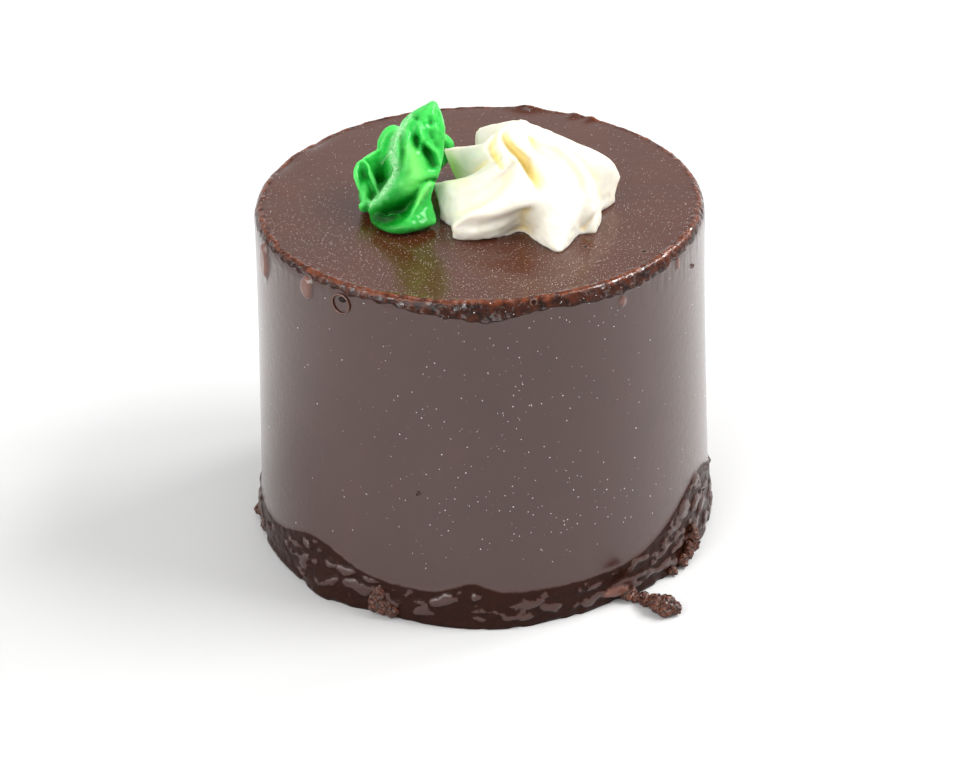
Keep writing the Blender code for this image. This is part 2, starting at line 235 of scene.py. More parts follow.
def strokeDepth(places, stroke):
    # depth of a stroke at each place in the picture, fading to its sides
    # the stroke is marks of x, y, width and depth, and last how many times wider its left side is
    marks, leftSide = np.array(stroke[:-1], float), stroke[-1]
    nearest = np.full(len(places), 1e9)
    depth = np.zeros(len(places))
    for start, end in zip(marks[:-1], marks[1:]):
        run = end[:2] - start[:2]
        offset = places - start[:2]
        share = np.clip((offset @ run) / (run @ run), 0.0, 1.0)
        away = np.linalg.norm(offset - share[:, None] * run, axis=1)
        away = away / (start[2] + (end[2] - start[2]) * share)
        away = np.where(run[0] * offset[:, 1] - run[1] * offset[:, 0] < 0.0, away / leftSide, away)
        closer = away < nearest
        nearest = np.where(closer, away, nearest)
        depth = np.where(closer, start[3] + (end[3] - start[3]) * share, depth)
    return np.exp(-nearest ** 2) * depth


def strokeDepths(points, strokes):
    places = inPicture(points)
    return sum(strokeDepth(places, stroke) for stroke in strokes)


def solidOf(mesh, points):
    return BVHTree.FromPolygons(points.tolist(), [tuple(face.vertices) for face in mesh.polygons])


def seenShare(solid, points, normals):
    # 1 where the camera sees the surface squarely, 0 where it is hidden or turned away
    towards = np.array(view["place"]) - points
    towards /= np.linalg.norm(towards, axis=1)[:, None]
    facing = smoothStep((normals * towards).sum(axis=1), 0.0, brush["fullFacing"])
    starts = points + normals * brush["sightGap"] * mm
    for i in np.nonzero(facing > 0.0)[0]:
        if solid.ray_cast(Vector(starts[i]), Vector(towards[i]))[0] is not None:
            facing[i] = 0.0
    return facing


def carve(piece, strokes):
    # pushes what the camera sees away from it along the strokes, or towards it where their depth is negative
    points, normals = meshPoints(piece.data), meshNormals(piece.data)
    solid = solidOf(piece.data, points)
    push = strokeDepths(points, strokes) * seenShare(solid, points, normals)
    away = Vector(view["forward"])
    for i in np.nonzero(push > brush["checkedDepth"])[0]:
        start = Vector(points[i]) + away * brush["inwardGap"] * mm
        through = solid.ray_cast(start, away)[3]
        push[i] = min(push[i], brush["thicknessShare"] * (through or 0.0) / mm)
    movePoints(piece.data, points + (push * mm)[:, None] * np.array(view["forward"]))


def paintStrokes(mesh, name, strokes):
    # attribute that is the stroke's depth along each stroke, where the camera sees it
    points = meshPoints(mesh)
    seen = seenShare(solidOf(mesh, points), points, meshNormals(mesh))
    setAttribute(mesh, name, seen * strokeDepths(points, strokes))


def addNode(tree, kind, inputs=None, **settings):
    # a node with its settings; each input is given a value or the socket that feeds it
    made = tree.nodes.new(kind)
    for name, value in settings.items():
        setattr(made, name, value)
    for name, value in (inputs or {}).items():
        if isinstance(value, bpy.types.NodeSocket):
            tree.links.new(value, made.inputs[name])
        else:
            made.inputs[name].default_value = value
    return made


def newMaterial(name, **values):
    # a Principled material; the values are set on the shader's own sockets
    material = bpy.data.materials.new(name)
    material.use_nodes = True
    shader = material.node_tree.nodes["Principled BSDF"]
    for socket, value in values.items():
        shader.inputs[socket.replace("_", " ")].default_value = value
    return material, material.node_tree, shader


def feed(node, **sources):
    # links each source to the node's input of that name, with _ for a space
    for name, source in sources.items():
        node.id_data.links.new(source, node.inputs[name.replace("_", " ")])


def combined(tree, operation, *values):
    return addNode(tree, "ShaderNodeMath", dict(enumerate(values)), operation=operation).outputs[0]


def blended(tree, share, first, second):
    # colour between two others, by a share from 0 to 1
    mix = addNode(tree, "ShaderNodeMix", {0: share, 6: first, 7: second}, data_type="RGBA")
    return mix.outputs[2]


def ramped(tree, socket, low, high, start=0.0, end=1.0):
    # start below low and end above high, with an even rise between them
    return addNode(tree, "ShaderNodeMapRange", {0: socket, 1: low, 2: high, 3: start, 4: end}).outputs[0]


def readAttribute(tree, name):
    return addNode(tree, "ShaderNodeAttribute", attribute_name=name).outputs["Fac"]


def tinted(tree, colour, tints):
    # colour after each tint in turn: attribute, its values where the tint starts and is full, share, tone
    for name, low, high, share, tone in tints:
        amount = ramped(tree, readAttribute(tree, name), low, high, 0.0, share)
        colour = blended(tree, amount, colour, tone)
    return colour


def makeGroup(name, sizes, results):
    # shader group that is given a vector and these sizes, and has numbers as its results
    group = bpy.data.node_groups.new(name, "ShaderNodeTree")
    group.interface.new_socket("Vector", in_out="INPUT", socket_type="NodeSocketVector")
    for label, value in sizes.items():
        socket = group.interface.new_socket(label, in_out="INPUT", socket_type="NodeSocketFloat")
        socket.default_value = value
    for label in results:
        group.interface.new_socket(label, in_out="OUTPUT", socket_type="NodeSocketFloat")
    return group, group.nodes.new("NodeGroupInput"), group.nodes.new("NodeGroupOutput")


def makeUnevenness():
    # broad cloudiness and fine grain of these sizes, with a height for a bump
    group, given, result = makeGroup("unevenness", {"Broad": 6.0, "Fine": 0.8, "Grain": 0.5},
                                     ("Cloud", "Speck", "Height"))
    layers = []
    for label, detail, distortion in (("Broad", 2.0, 0.6), ("Fine", 3.0, 0.3)):
        layers.append(addNode(group, "ShaderNodeTexNoise", {
            "Vector": given.outputs["Vector"], "Detail": detail, "Distortion": distortion,
            "Scale": combined(group, "DIVIDE", 1.0 / mm, given.outputs[label])}).outputs["Fac"])
    cloud, speck = layers
    grainy = combined(group, "MULTIPLY", speck, given.outputs["Grain"])
    feed(result, Cloud=cloud, Speck=speck, Height=combined(group, "ADD", cloud, grainy))
    return group


def makeDimples():
    # small round air holes scattered over a surface: a height that is 0 in a hole and 1 between them
    group, given, result = makeGroup("dimples", {"Spacing": 1.5, "Radius": 0.2}, ("Height",))
    spacing = given.outputs["Spacing"]
    cells = addNode(group, "ShaderNodeTexVoronoi", {
        "Vector": given.outputs["Vector"], "Scale": combined(group, "DIVIDE", 1.0 / mm, spacing),
        "Randomness": 1.0})
    reach = combined(group, "DIVIDE", given.outputs["Radius"], spacing)
    chance = addNode(group, "ShaderNodeSeparateColor", {0: cells.outputs["Color"]}).outputs[0]
    size = combined(group, "MULTIPLY", reach, chance)
    edge = combined(group, "DIVIDE", cells.outputs["Distance"], size)
    feed(result, Height=combined(group, "SUBTRACT", 1.0, ramped(group, edge, 0.6, 1.1, 1.0, 0.0)))
    return group


unevenness = makeUnevenness()
dimples = makeDimples()


def useGroup(tree, group, **sizes):
    place = addNode(tree, "ShaderNodeTexCoord").outputs["Object"]
    return addNode(tree, "ShaderNodeGroup", {"Vector": place, **sizes}, node_tree=group).outputs


def bumped(tree, height, depth, strength=1.0, under=None):
    # normal of a bump that is depth millimetres high
    inputs = {"Height": height, "Strength": strength, "Distance": depth * mm}
    if under is not None:
        inputs["Normal"] = under
    return addNode(tree, "ShaderNodeBump", inputs).outputs["Normal"]


cake = {
    "height": 46.15, "topRadius": 28.1, "wallRadius": 29.15, "footRadius": 30.35, "footFlare": 1.5,
    "footRound": 0.3, "bulgeHeight": 7.0, "rimDrop": 1.9, "columns": 720,
    # first level, last level and number of the rings in each run up the wall; the last run ends at the rim
    "wallRuns": ((0.0, 0.12, 2), (0.35, 14.6, 52), (16.0, 38.0, 13), (38.5, 40.5, 4)),
    "lastRun": (41.0, 16), "rimRings": 18,
    # distances of the top's rings from the rim
    "topSteps": (0.3, 0.6, 1.0, 1.6, 2.4, 3.4, 5.0, 7.5, 10.5, 14.0, 18.0, 22.0, 26.0),
    "skirtHeight": 5.3, "skirtThickness": 0.35, "skirtFade": 1.2,
    # the foot's pools and ripples: relief, size of their features and how far the warp pulls them
    "poolDepth": 0.34, "poolSize": (2.9, 2.9, 1.15), "poolWarp": 1.1,
    "rippleDepth": 0.12, "rippleSize": (1.3, 1.3, 0.7), "rippleWarp": 0.6,
    "smallPools": 0.35, "smallPoolWarp": 0.5, "warpSize": 2.6,
    # how much less glaze pools along the foot's upper edge, at its left and along the table, and where; fewer
    # pools at the left leave more of the foot's painted shade there
    "dryEdge": 0.5, "edgeSpread": 0.7, "dryLeft": 0.3, "dryPlace": (-66.0, 18.0),
    "dryBottom": 0.6, "bottomFade": (0.5, 1.8),
    "notchDepth": 0.35, "notchHeight": 1.6, "notchSize": 2.6, "streaks": 0.05, "topWaves": 0.03,
    "rimRough": 0.06, "rimBead": 0.08, "rimBubbles": 0.14,
    # azimuth and spread of the froth, its share elsewhere, and the levels between which it grows
    "frothSide": (-48.0, 24.0), "frothLeast": 0.25, "frothLevels": (44.0, 44.8),
    "bandBottom": 45.0, "bandReach": 0.4, "bandDepth": 0.10,
    # degrees round the rim's curve at which the rust-coloured line starts and ends
    "rustStart": 50.0, "rustEnd": 88.0,
    # dark and light tone of each kind of glaze, and the tone of its drops
    "topTones": ((0.041, 0.0098, 0.0041, 1), (0.058, 0.0142, 0.0059, 1)),
    "wallTones": ((0.033, 0.0112, 0.0074, 1), (0.047, 0.0158, 0.0105, 1)),
    # the foot's dark tones are partly painted shade, standing in for a dark reflection in the glaze between
    # the pools
    "footTones": ((0.009, 0.0026, 0.0015, 1), (0.027, 0.0072, 0.0036, 1)),
    "rustTones": ((0.036, 0.0076, 0.0026, 1), (0.120, 0.0275, 0.0080, 1)),
    "wetTones": ((0.010, 0.0025, 0.0011, 1), (0.050, 0.0108, 0.0036, 1)),
    "dropTone": (0.115, 0.043, 0.028, 1),
    # azimuth, height, spread
    "skirtSwells": ((-47, 3.0, 13), (-4, 1.4, 5), (68, 6.2, 19), (128, 2.4, 14), (186, 3.2, 16),
                    (238, 1.8, 12)),
    "footBulges": ((-43, 0.9, 8), (-27, -0.5, 6), (2, 0.7, 15), (31, -0.5, 6), (140, 0.5, 15),
                   (215, 0.6, 14)),
    "bandSwells": ((2, 1.1, 9), (-8, 0.5, 12), (37, 0.75, 18), (-55, -0.5, 24), (92, -0.4, 14),
                   (140, 0.4, 25), (215, 0.3, 25)),
    "rimNibs": ((166, 0.5, 3.5), (152, 0.35, 1.6), (147, 0.3, 1.4), (230, -0.25, 6), (247, -0.25, 5)),
    # azimuth, level, half width, half height, thickness
    "drops": ((-70.0, 42.9, 1.4, 2.5, 0.48), (-48.0, 43.9, 1.0, 1.5, 0.5), (36.8, 43.1, 0.45, 0.75, 0.3),
              (58.0, 44.0, 0.4, 0.85, 0.26), (33.0, 1.75, 2.0, 0.7, 0.45), (152.0, 43.6, 0.8, 1.7, 0.4)),
}
crest = cake["height"] - cake["rimDrop"]  # level at which the rim starts to curve inwards


def skirtTop(azimuth):
    return cake["skirtHeight"] + swell(azimuth, cake["skirtSwells"])


def skirtShare(azimuth, level):
    # 1 inside the wavy glaze round the foot and 0 on the smooth wall above it
    return 1.0 - smoothStep((level - skirtTop(azimuth)) / cake["skirtFade"] + 0.8)


def smoothWall(azimuth, level):
    # distance of the glaze from the axis, without its ripples
    flare = np.clip(1.0 - level / crest, 0.0, 1.0) ** cake["footFlare"]
    radius = cake["wallRadius"] + (cake["footRadius"] - cake["wallRadius"]) * flare
    radius = radius + swell(azimuth, cake["footBulges"]) * (1.0 - smoothStep(level / cake["bulgeHeight"]))
    return radius + skirtShare(azimuth, level) * cake["skirtThickness"]


def ringGrid(values):
    # the azimuth of every column and the value of every ring, one row for each point
    azimuths = np.arange(cake["columns"]) * 360.0 / cake["columns"]
    return (grid.ravel() for grid in np.meshgrid(azimuths, values))


def rimBand(azimuth, level, around):
    # share of the dark wet band that hangs under the rim, with a ragged lower edge
    bottom = cake["bandBottom"] - swell(azimuth, cake["bandSwells"])
    bottom = bottom + cake["bandReach"] * noiseAt(around, (1.3, 1.3, 9.0), 33.0)
    return smoothStep(level - bottom, -0.2, 0.2)


def rimBubbles(azimuth, level, around):
    # froth in the wet band, strongest at the left
    middle, spread = cake["frothSide"]
    left = cake["frothLeast"] + np.exp(-(angleBetween(azimuth, middle) / spread) ** 2)
    inBand = smoothStep(level, *cake["frothLevels"])
    return cake["rimBubbles"] * left * inBand * noiseAt(around, 0.5, 61.0)


def dropDomes(azimuth, level, radius):
    # height of the drops of glaze over the wall, and their share of its colour
    height, share = np.zeros(len(level)), np.zeros(len(level))
    for at, middle, halfWidth, halfHeight, thickness in cake["drops"]:
        across = np.abs(np.radians(angleBetween(azimuth, at))) * radius / halfWidth
        along = np.abs(level - middle) / halfHeight
        dome = np.sqrt(np.clip(1.0 - across ** 2.2 - along ** 2.2, 0.0, 1.0))
        height = height + thickness * smoothStep(dome, 0.0, 0.8)
        share = np.maximum(share, smoothStep(dome, 0.05, 0.45))
    return height, share


def poolHeight(azimuth, level, around, warp):
    # high in the glossy pools of the foot and low on the dull glaze between them
    pools = noiseAt(around + cake["poolWarp"] * warp, cake["poolSize"], 5.0)
    small = noiseAt(around + cake["smallPoolWarp"] * warp, cake["rippleSize"], 55.0)
    pools = pools + cake["smallPools"] * small
    pools = pools - cake["dryEdge"] * np.exp(-((level - skirtTop(azimuth) + 0.2) / cake["edgeSpread"]) ** 2)
    middle, spread = cake["dryPlace"]
    pools = pools - cake["dryLeft"] * np.exp(-(angleBetween(azimuth, middle) / spread) ** 2)
    low = 1.0 - smoothStep(level, *cake["bottomFade"])
    return pools - cake["dryBottom"] * low * (0.6 + 0.4 * np.cos(np.radians(azimuth)))


def makeWall():
    # points and masks of the wall, from the table up to where the rim begins
    start, rings = cake["lastRun"]
    levels = np.concatenate([np.linspace(*run) for run in (*cake["wallRuns"], (start, crest, rings))])
    azimuth, level = ringGrid(levels)
    radius = smoothWall(azimuth, level)
    around = aroundCake(azimuth, radius, level)
    warp = np.stack([noiseAt(around, cake["warpSize"], shift) for shift in (11.0, 37.0, 71.0)], axis=-1)
    pools = poolHeight(azimuth, level, around, warp)
    ripples = noiseAt(around + cake["rippleWarp"] * warp, cake["rippleSize"], 23.0)
    skirt = skirtShare(azimuth, level)
    relief = cake["poolDepth"] * (smoothStep(pools, -0.12, 0.3) - 0.6) + cake["rippleDepth"] * ripples
    radius = radius + skirt * smoothStep(level / 1.4) * relief
    radius = radius - cake["footRound"] * (1.0 - smoothStep(level / 0.5))
    notches = smoothStep(noiseAt(around, cake["notchSize"], 91.0), 0.0, 0.4)
    low = smoothStep(cake["notchHeight"] - level, 0.0, cake["notchHeight"])
    radius = radius - cake["notchDepth"] * low * skirt * notches
    bulge, drop = dropDomes(azimuth, level, radius)
    sides = smoothStep(level, 40.0, crest) * (0.35 + np.sin(np.radians(azimuth)) ** 2)
    radius = radius + sides * cake["streaks"] * noiseAt(around, (0.55, 0.55, 5.0), 47.0)
    band = rimBand(azimuth, level, around)
    radius = radius + cake["bandDepth"] * band + band * rimBubbles(azimuth, level, around) + bulge
    masks = {"skirt": skirt, "pool": pools, "rust": np.zeros(len(level)), "band": band, "drop": drop}
    return aroundCake(azimuth, radius, level), masks


def makeRim():
    # points and masks of the rounded rim and of the top, up to the ring before the middle
    turns = np.radians(np.linspace(0.0, 90.0, cake["rimRings"] + 1)[1:])
    inwards = np.concatenate([np.zeros(len(turns)), cake["topSteps"]])
    turns = np.concatenate([turns, np.full(len(cake["topSteps"]), 0.5 * math.pi)])
    azimuth, turn = ringGrid(turns)
    inward = np.repeat(inwards, cake["columns"])
    rounding = cake["wallRadius"] - cake["topRadius"]
    radius = smoothWall(azimuth, crest) - rounding * (1.0 - np.cos(turn)) - inward
    level = cake["height"] - cake["rimDrop"] * (1.0 - np.sin(turn))
    around = aroundCake(azimuth, radius, level)
    rough = cake["rimRough"] * (noiseAt(around, 1.4, 47.0) + 0.8 * noiseAt(around, 0.5, 3.0))
    fade = 1.0 - smoothStep(inward / 1.6)
    ragged = 9.0 * noiseAt(around, 1.8, 19.0) + 8.0 * noiseAt(around, 0.5, 29.0)
    ragged = np.degrees(turn) + 45.0 * inward + ragged
    rust = smoothStep(ragged, cake["rustStart"], cake["rustStart"] + 9.0)
    rust = rust * (1.0 - smoothStep(ragged, cake["rustEnd"], cake["rustEnd"] + 12.0))
    bead = cake["rimBead"] * rust * (0.7 + 0.8 * noiseAt(around, 1.6, 9.0))
    band = rimBand(azimuth, level, around) * (1.0 - smoothStep(np.degrees(turn), 68.0, 85.0))
    bulge, drop = dropDomes(azimuth, level, radius)
    froth = band * (cake["bandDepth"] * (1.0 - np.sin(turn)) + rimBubbles(azimuth, level, around))
    proud = rough * fade + bead + froth + bulge * np.cos(turn)
    radius = radius + proud * np.cos(turn)
    level = level + proud * np.sin(turn) + swell(azimuth, cake["rimNibs"]) * np.sin(turn) * fade
    level = level + cake["topWaves"] * (1.0 - fade) * noiseAt(around, 5.0, 15.0)
    nothing = np.zeros(len(level))
    masks = {"skirt": nothing, "pool": nothing, "rust": rust, "band": band, "drop": drop}
    return aroundCake(azimuth, radius, level), masks


def makeCakeGlaze():
    (wall, wallMasks), (rim, rimMasks) = makeWall(), makeRim()
    points = np.concatenate([wall, rim, [[0.0, 0.0, 0.0], [0.0, 0.0, cake["height"]]]])
    columns = cake["columns"]
    rows = (len(points) - 2) // columns
    faces = gridFaces(rows, columns)
    under, top, lastRow = len(points) - 2, len(points) - 1, (rows - 1) * columns
    for column in range(columns):
        following = (column + 1) % columns
        faces.append([following, column, under])
        faces.append([lastRow + column, lastRow + following, top])
    glaze = objectFromMesh("cakeGlaze", points, faces)
    for name, values in wallMasks.items():
        setAttribute(glaze.data, name, np.concatenate([values, rimMasks[name], [0.0, 0.0]]))
    return glaze


def glazeColour(tree, dark, light):
    # deep red-brown that clouds a little from place to place, thinner and paler in the drops
    soft = useGroup(tree, unevenness, Broad=7.0, Fine=0.9, Grain=0.35)
    deep = blended(tree, soft["Cloud"], dark, light)
    return soft, blended(tree, readAttribute(tree, "drop"), deep, cake["dropTone"])


def rustGlaze(tree, fine, under):
    # thin rust-coloured line where the glaze has pulled back from the edge of the top
    tone = blended(tree, ramped(tree, fine["Cloud"], 0.35, 0.62), *cake["rustTones"])
    return blended(tree, readAttribute(tree, "rust"), under, tone)


def makeTopGlaze():
    material, tree, shader = newMaterial("topGlaze", IOR=1.4)
    soft, colour = glazeColour(tree, *cake["topTones"])
    fine = useGroup(tree, unevenness, Broad=1.5, Fine=0.35, Grain=0.6)
    waves = bumped(tree, soft["Height"], 0.14, 0.4)
    feed(shader, Base_Color=rustGlaze(tree, fine, colour),
         Roughness=ramped(tree, fine["Speck"], 0.3, 0.7, 0.15, 0.20),
         Normal=bumped(tree, fine["Height"], 0.05, 0.5, waves))
    return material


def makeWallGlaze():
    # glossy wall whose gloss breaks into pools on the foot; between the pools the glaze is less glossy and
    # darkened with painted shade that stands in for a dark reflection
    material, tree, shader = newMaterial(
        "wallGlaze", Roughness=0.3, Specular_IOR_Level=0.08, Coat_Roughness=0.22, Coat_IOR=1.6)
    colour = glazeColour(tree, *cake["wallTones"])[1]
    fine = useGroup(tree, unevenness, Broad=1.1, Fine=0.35, Grain=0.5)
    pools = combined(tree, "MULTIPLY_ADD", fine["Cloud"], 0.9, readAttribute(tree, "pool"))
    foot = combined(tree, "MULTIPLY_ADD", fine["Cloud"], 0.5, readAttribute(tree, "skirt"))
    between = ramped(tree, pools, 0.44, 0.56, 1.0, 0.0)
    dullAndShaded = combined(tree, "MULTIPLY", ramped(tree, foot, 0.62, 0.95), between)
    dullAndShaded = combined(tree, "MAXIMUM", dullAndShaded, ramped(tree, readAttribute(tree, "band"), 0.15, 0.5))
    dullAndShaded = combined(tree, "SUBTRACT", dullAndShaded, readAttribute(tree, "drop"))
    dullAndShaded = ramped(tree, dullAndShaded, 0.0, 1.0)
    gloss = ramped(tree, dullAndShaded, 0.0, 1.0, 1.0, 0.05)
    gloss = combined(tree, "MULTIPLY_ADD", readAttribute(tree, "skirt"), -0.3, gloss)
    dark = blended(tree, fine["Cloud"], *cake["footTones"])
    # the less glossy glaze takes the dark foot tones: between the foot's pools this is painted shade standing
    # in for a dark reflection, and the wet band under the rim gets the same tones
    feed(shader, Base_Color=blended(tree, dullAndShaded, colour, dark),
         Coat_Weight=combined(tree, "MAXIMUM", gloss, 0.05),
         Normal=bumped(tree, fine["Height"], 0.08, 0.7))
    return material


def makeRimGlaze():
    # wet bead under the edge of the top, dark below and rust-coloured above, with small bright wet spots
    material, tree, shader = newMaterial(
        "rimGlaze", IOR=1.5, Specular_IOR_Level=0.2, Coat_IOR=1.85, Coat_Roughness=0.08)
    fine = useGroup(tree, unevenness, Broad=1.1, Fine=0.3, Grain=0.6)
    wet = blended(tree, ramped(tree, fine["Cloud"], 0.35, 0.65), *cake["wetTones"])
    spots = useGroup(tree, unevenness, Broad=0.8, Fine=0.3, Grain=0.5)
    feed(shader, Base_Color=rustGlaze(tree, fine, wet),
         Roughness=ramped(tree, fine["Speck"], 0.3, 0.7, 0.12, 0.22),
         Coat_Weight=ramped(tree, spots["Height"], 0.78, 1.0),
         Normal=bumped(tree, fine["Height"], 0.1, 0.7))
    return material


def dressCake():
    # each face has the rim's glaze where glaze has gathered, else the top's or the wall's by its slope
    glaze = makeCakeGlaze()
    for material in (makeTopGlaze(), makeWallGlaze(), makeRimGlaze()):
        glaze.data.materials.append(material)
    faces, corners = glaze.data.polygons, glaze.data.loops
    first, carriers = np.empty(len(faces), np.int32), np.empty(len(corners), np.int32)
    faces.foreach_get("loop_start", first)
    corners.foreach_get("vertex_index", carriers)
    gathered = np.maximum(attributeOf(glaze.data, "band"), attributeOf(glaze.data, "rust")) > 0.5
    kinds = np.where(readVectors(faces, "normal")[:, 2] < 0.93, 1, 0)
    kinds[gathered[carriers[first]]] = 2
    faces.foreach_set("material_index", kinds.astype(np.int32))
    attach(glaze, "root")
    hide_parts("cake_body")
    return glaze


crumbs = {
    # grains: radius, least distance, scales, most in a square metre, seed
    "grainSize": 0.3, "grainSpacing": 0.27, "grainScales": (0.4, 1.0), "density": 3e7, "seed": 4,
    # masses: how flat and how lumpy they are, voxels of their skin, lowest level
    "flattening": 0.86, "lumpMiddle": 0.84, "lumpReach": 0.28, "skin": 0.1, "lowest": 0.02,
    # height, size of features and shift of the noise over them
    "wobbles": ((0.07, 0.3, 8.0), (0.1, 0.9, 2.0)),
    "tones": ((0.018, 0.0046, 0.0024, 1), (0.078, 0.022, 0.011, 1)), "paleTone": (0.16, 0.058, 0.028, 1),
    # azimuth, distance from the axis, radius, height
    "masses": (
        (36.6, 30.7, 1.15, 0.9), (37.4, 31.7, 0.75, 0.6), (38.6, 32.4, 0.8, 0.75), (38.1, 33.2, 0.95, 0.7),
        (39.2, 34.2, 1.05, 1.0), (38.4, 35.3, 1.25, 1.1), (39.6, 36.2, 1.35, 1.3), (38.2, 36.7, 0.95, 0.8),
        (40.3, 37.1, 0.95, 0.9), (41.2, 35.9, 0.6, 0.5),
        (52.0, 30.9, 0.6, 0.7), (56.5, 31.0, 0.7, 1.0), (59.5, 30.9, 0.75, 1.7), (62.5, 30.8, 0.85, 2.6),
        (-86.0, 30.3, 0.9, 1.2), (-79.0, 30.0, 0.8, 0.9),
        (-24.2, 30.1, 1.2, 1.0), (-26.0, 30.2, 1.3, 1.5), (-28.2, 30.2, 1.2, 1.6), (-27.4, 30.0, 1.1, 2.4),
    ),
}


def makeCrumbMass(azimuth, distance, radius, height):
    centre = Vector(aroundCake(azimuth, distance, height))
    radii = Vector((radius, radius, height * crumbs["flattening"]))

    def place(local):
        lumps = noise.noise(local * 1.6 + Vector((azimuth, distance, 0.0)))
        return centre + radii * (crumbs["lumpMiddle"] + crumbs["lumpReach"] * lumps) * local

    return makeBall("crumbMass", place)


def makeTree(name, sizes):
    # geometry node tree that is given a surface, these sizes, a seed and a material
    tree = bpy.data.node_groups.new(name, "GeometryNodeTree")
    inputs = [("Geometry", "NodeSocketGeometry")] + [(label, "NodeSocketFloat") for label in sizes]
    for label, kind in inputs + [("Seed", "NodeSocketInt"), ("Material", "NodeSocketMaterial")]:
        tree.interface.new_socket(label, in_out="INPUT", socket_type=kind)
    tree.interface.new_socket("Geometry", in_out="OUTPUT", socket_type="NodeSocketGeometry")
    return tree, tree.nodes.new("NodeGroupInput").outputs, tree.nodes.new("NodeGroupOutput").inputs


def randomValue(tree, low, high, seed=0):
    # random number between two others for each point, or random vector between two vectors
    if isinstance(low, tuple):
        ends, kind, result = {0: low, 1: high}, "FLOAT_VECTOR", 0
    else:
        ends, kind, result = {2: low, 3: high}, "FLOAT", 1
    return addNode(tree, "FunctionNodeRandomValue", {**ends, "Seed": seed}, data_type=kind).outputs[result]


def makeGrainTree():
    # geometry nodes that strew rounded grains over a surface and keep the surface itself
    tree, given, result = makeTree("strewnGrains", ("Spacing", "Size"))
    scatter = addNode(tree, "GeometryNodeDistributePointsOnFaces", {
        "Mesh": given["Geometry"], "Distance Min": given["Spacing"], "Density Max": crumbs["density"],
        "Seed": given["Seed"]}, distribute_method="POISSON")
    grain = addNode(tree, "GeometryNodeMeshIcoSphere", {"Radius": given["Size"], "Subdivisions": 2})
    placed = addNode(tree, "GeometryNodeInstanceOnPoints", {
        "Points": scatter.outputs["Points"], "Instance": grain.outputs["Mesh"],
        "Rotation": randomValue(tree, (0.0, 0.0, 0.0), (6.28, 6.28, 6.28)),
        "Scale": randomValue(tree, *crumbs["grainScales"], given["Seed"])})
    plain = addNode(tree, "GeometryNodeRealizeInstances", {"Geometry": placed.outputs[0]})
    both = addNode(tree, "GeometryNodeJoinGeometry", {0: plain.outputs[0]})
    tree.links.new(given["Geometry"], both.inputs[0])
    dressed = addNode(tree, "GeometryNodeSetMaterial", {
        "Geometry": both.outputs[0], "Material": given["Material"]})
    tree.links.new(dressed.outputs[0], result[0])
    return tree


def runTree(piece, tree, **values):
    # runs a node tree on a piece with these inputs and leaves the plain result
    modifier = piece.modifiers.new(tree.name, "NODES")
    modifier.node_group = tree
    for item in tree.interface.items_tree:
        if item.item_type == "SOCKET" and item.in_out == "INPUT" and item.name in values:
            modifier[item.identifier] = values[item.name]
    return applyModifiers(piece)


def makeSpongeCrumb():
    material, tree, shader = newMaterial("spongeCrumb", IOR=1.4)
    fine = useGroup(tree, unevenness, Broad=0.9, Fine=0.3, Grain=0.8)
    colour = blended(tree, ramped(tree, fine["Cloud"], 0.35, 0.65), *crumbs["tones"])
    colour = blended(tree, ramped(tree, fine["Speck"], 0.54, 0.68), colour, crumbs["paleTone"])
    feed(shader, Base_Color=colour, Roughness=ramped(tree, fine["Speck"], 0.35, 0.6, 0.12, 0.45),
         Normal=bumped(tree, fine["Height"], 0.12, 0.8))
    return material


def makeCrumbs():
    material = makeSpongeCrumb()
    mass = joinPieces("spongeCrumbs", [makeCrumbMass(*values) for values in crumbs["masses"]])
    runTree(mass, makeGrainTree(), Spacing=crumbs["grainSpacing"] * mm, Size=crumbs["grainSize"] * mm,
            Seed=crumbs["seed"], Material=material)
    softSkin(mass, crumbs["skin"])
    points = meshPoints(mass.data)
    points = pushedOut(mass.data, points, wobbleAt(points, crumbs["wobbles"]))
    points[:, 2] = np.maximum(points[:, 2], crumbs["lowest"] * mm)
    movePoints(mass.data, points)
    mass.data.shade_smooth()
    mass.data.materials.clear()
    mass.data.materials.append(material)
    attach(mass, "root")


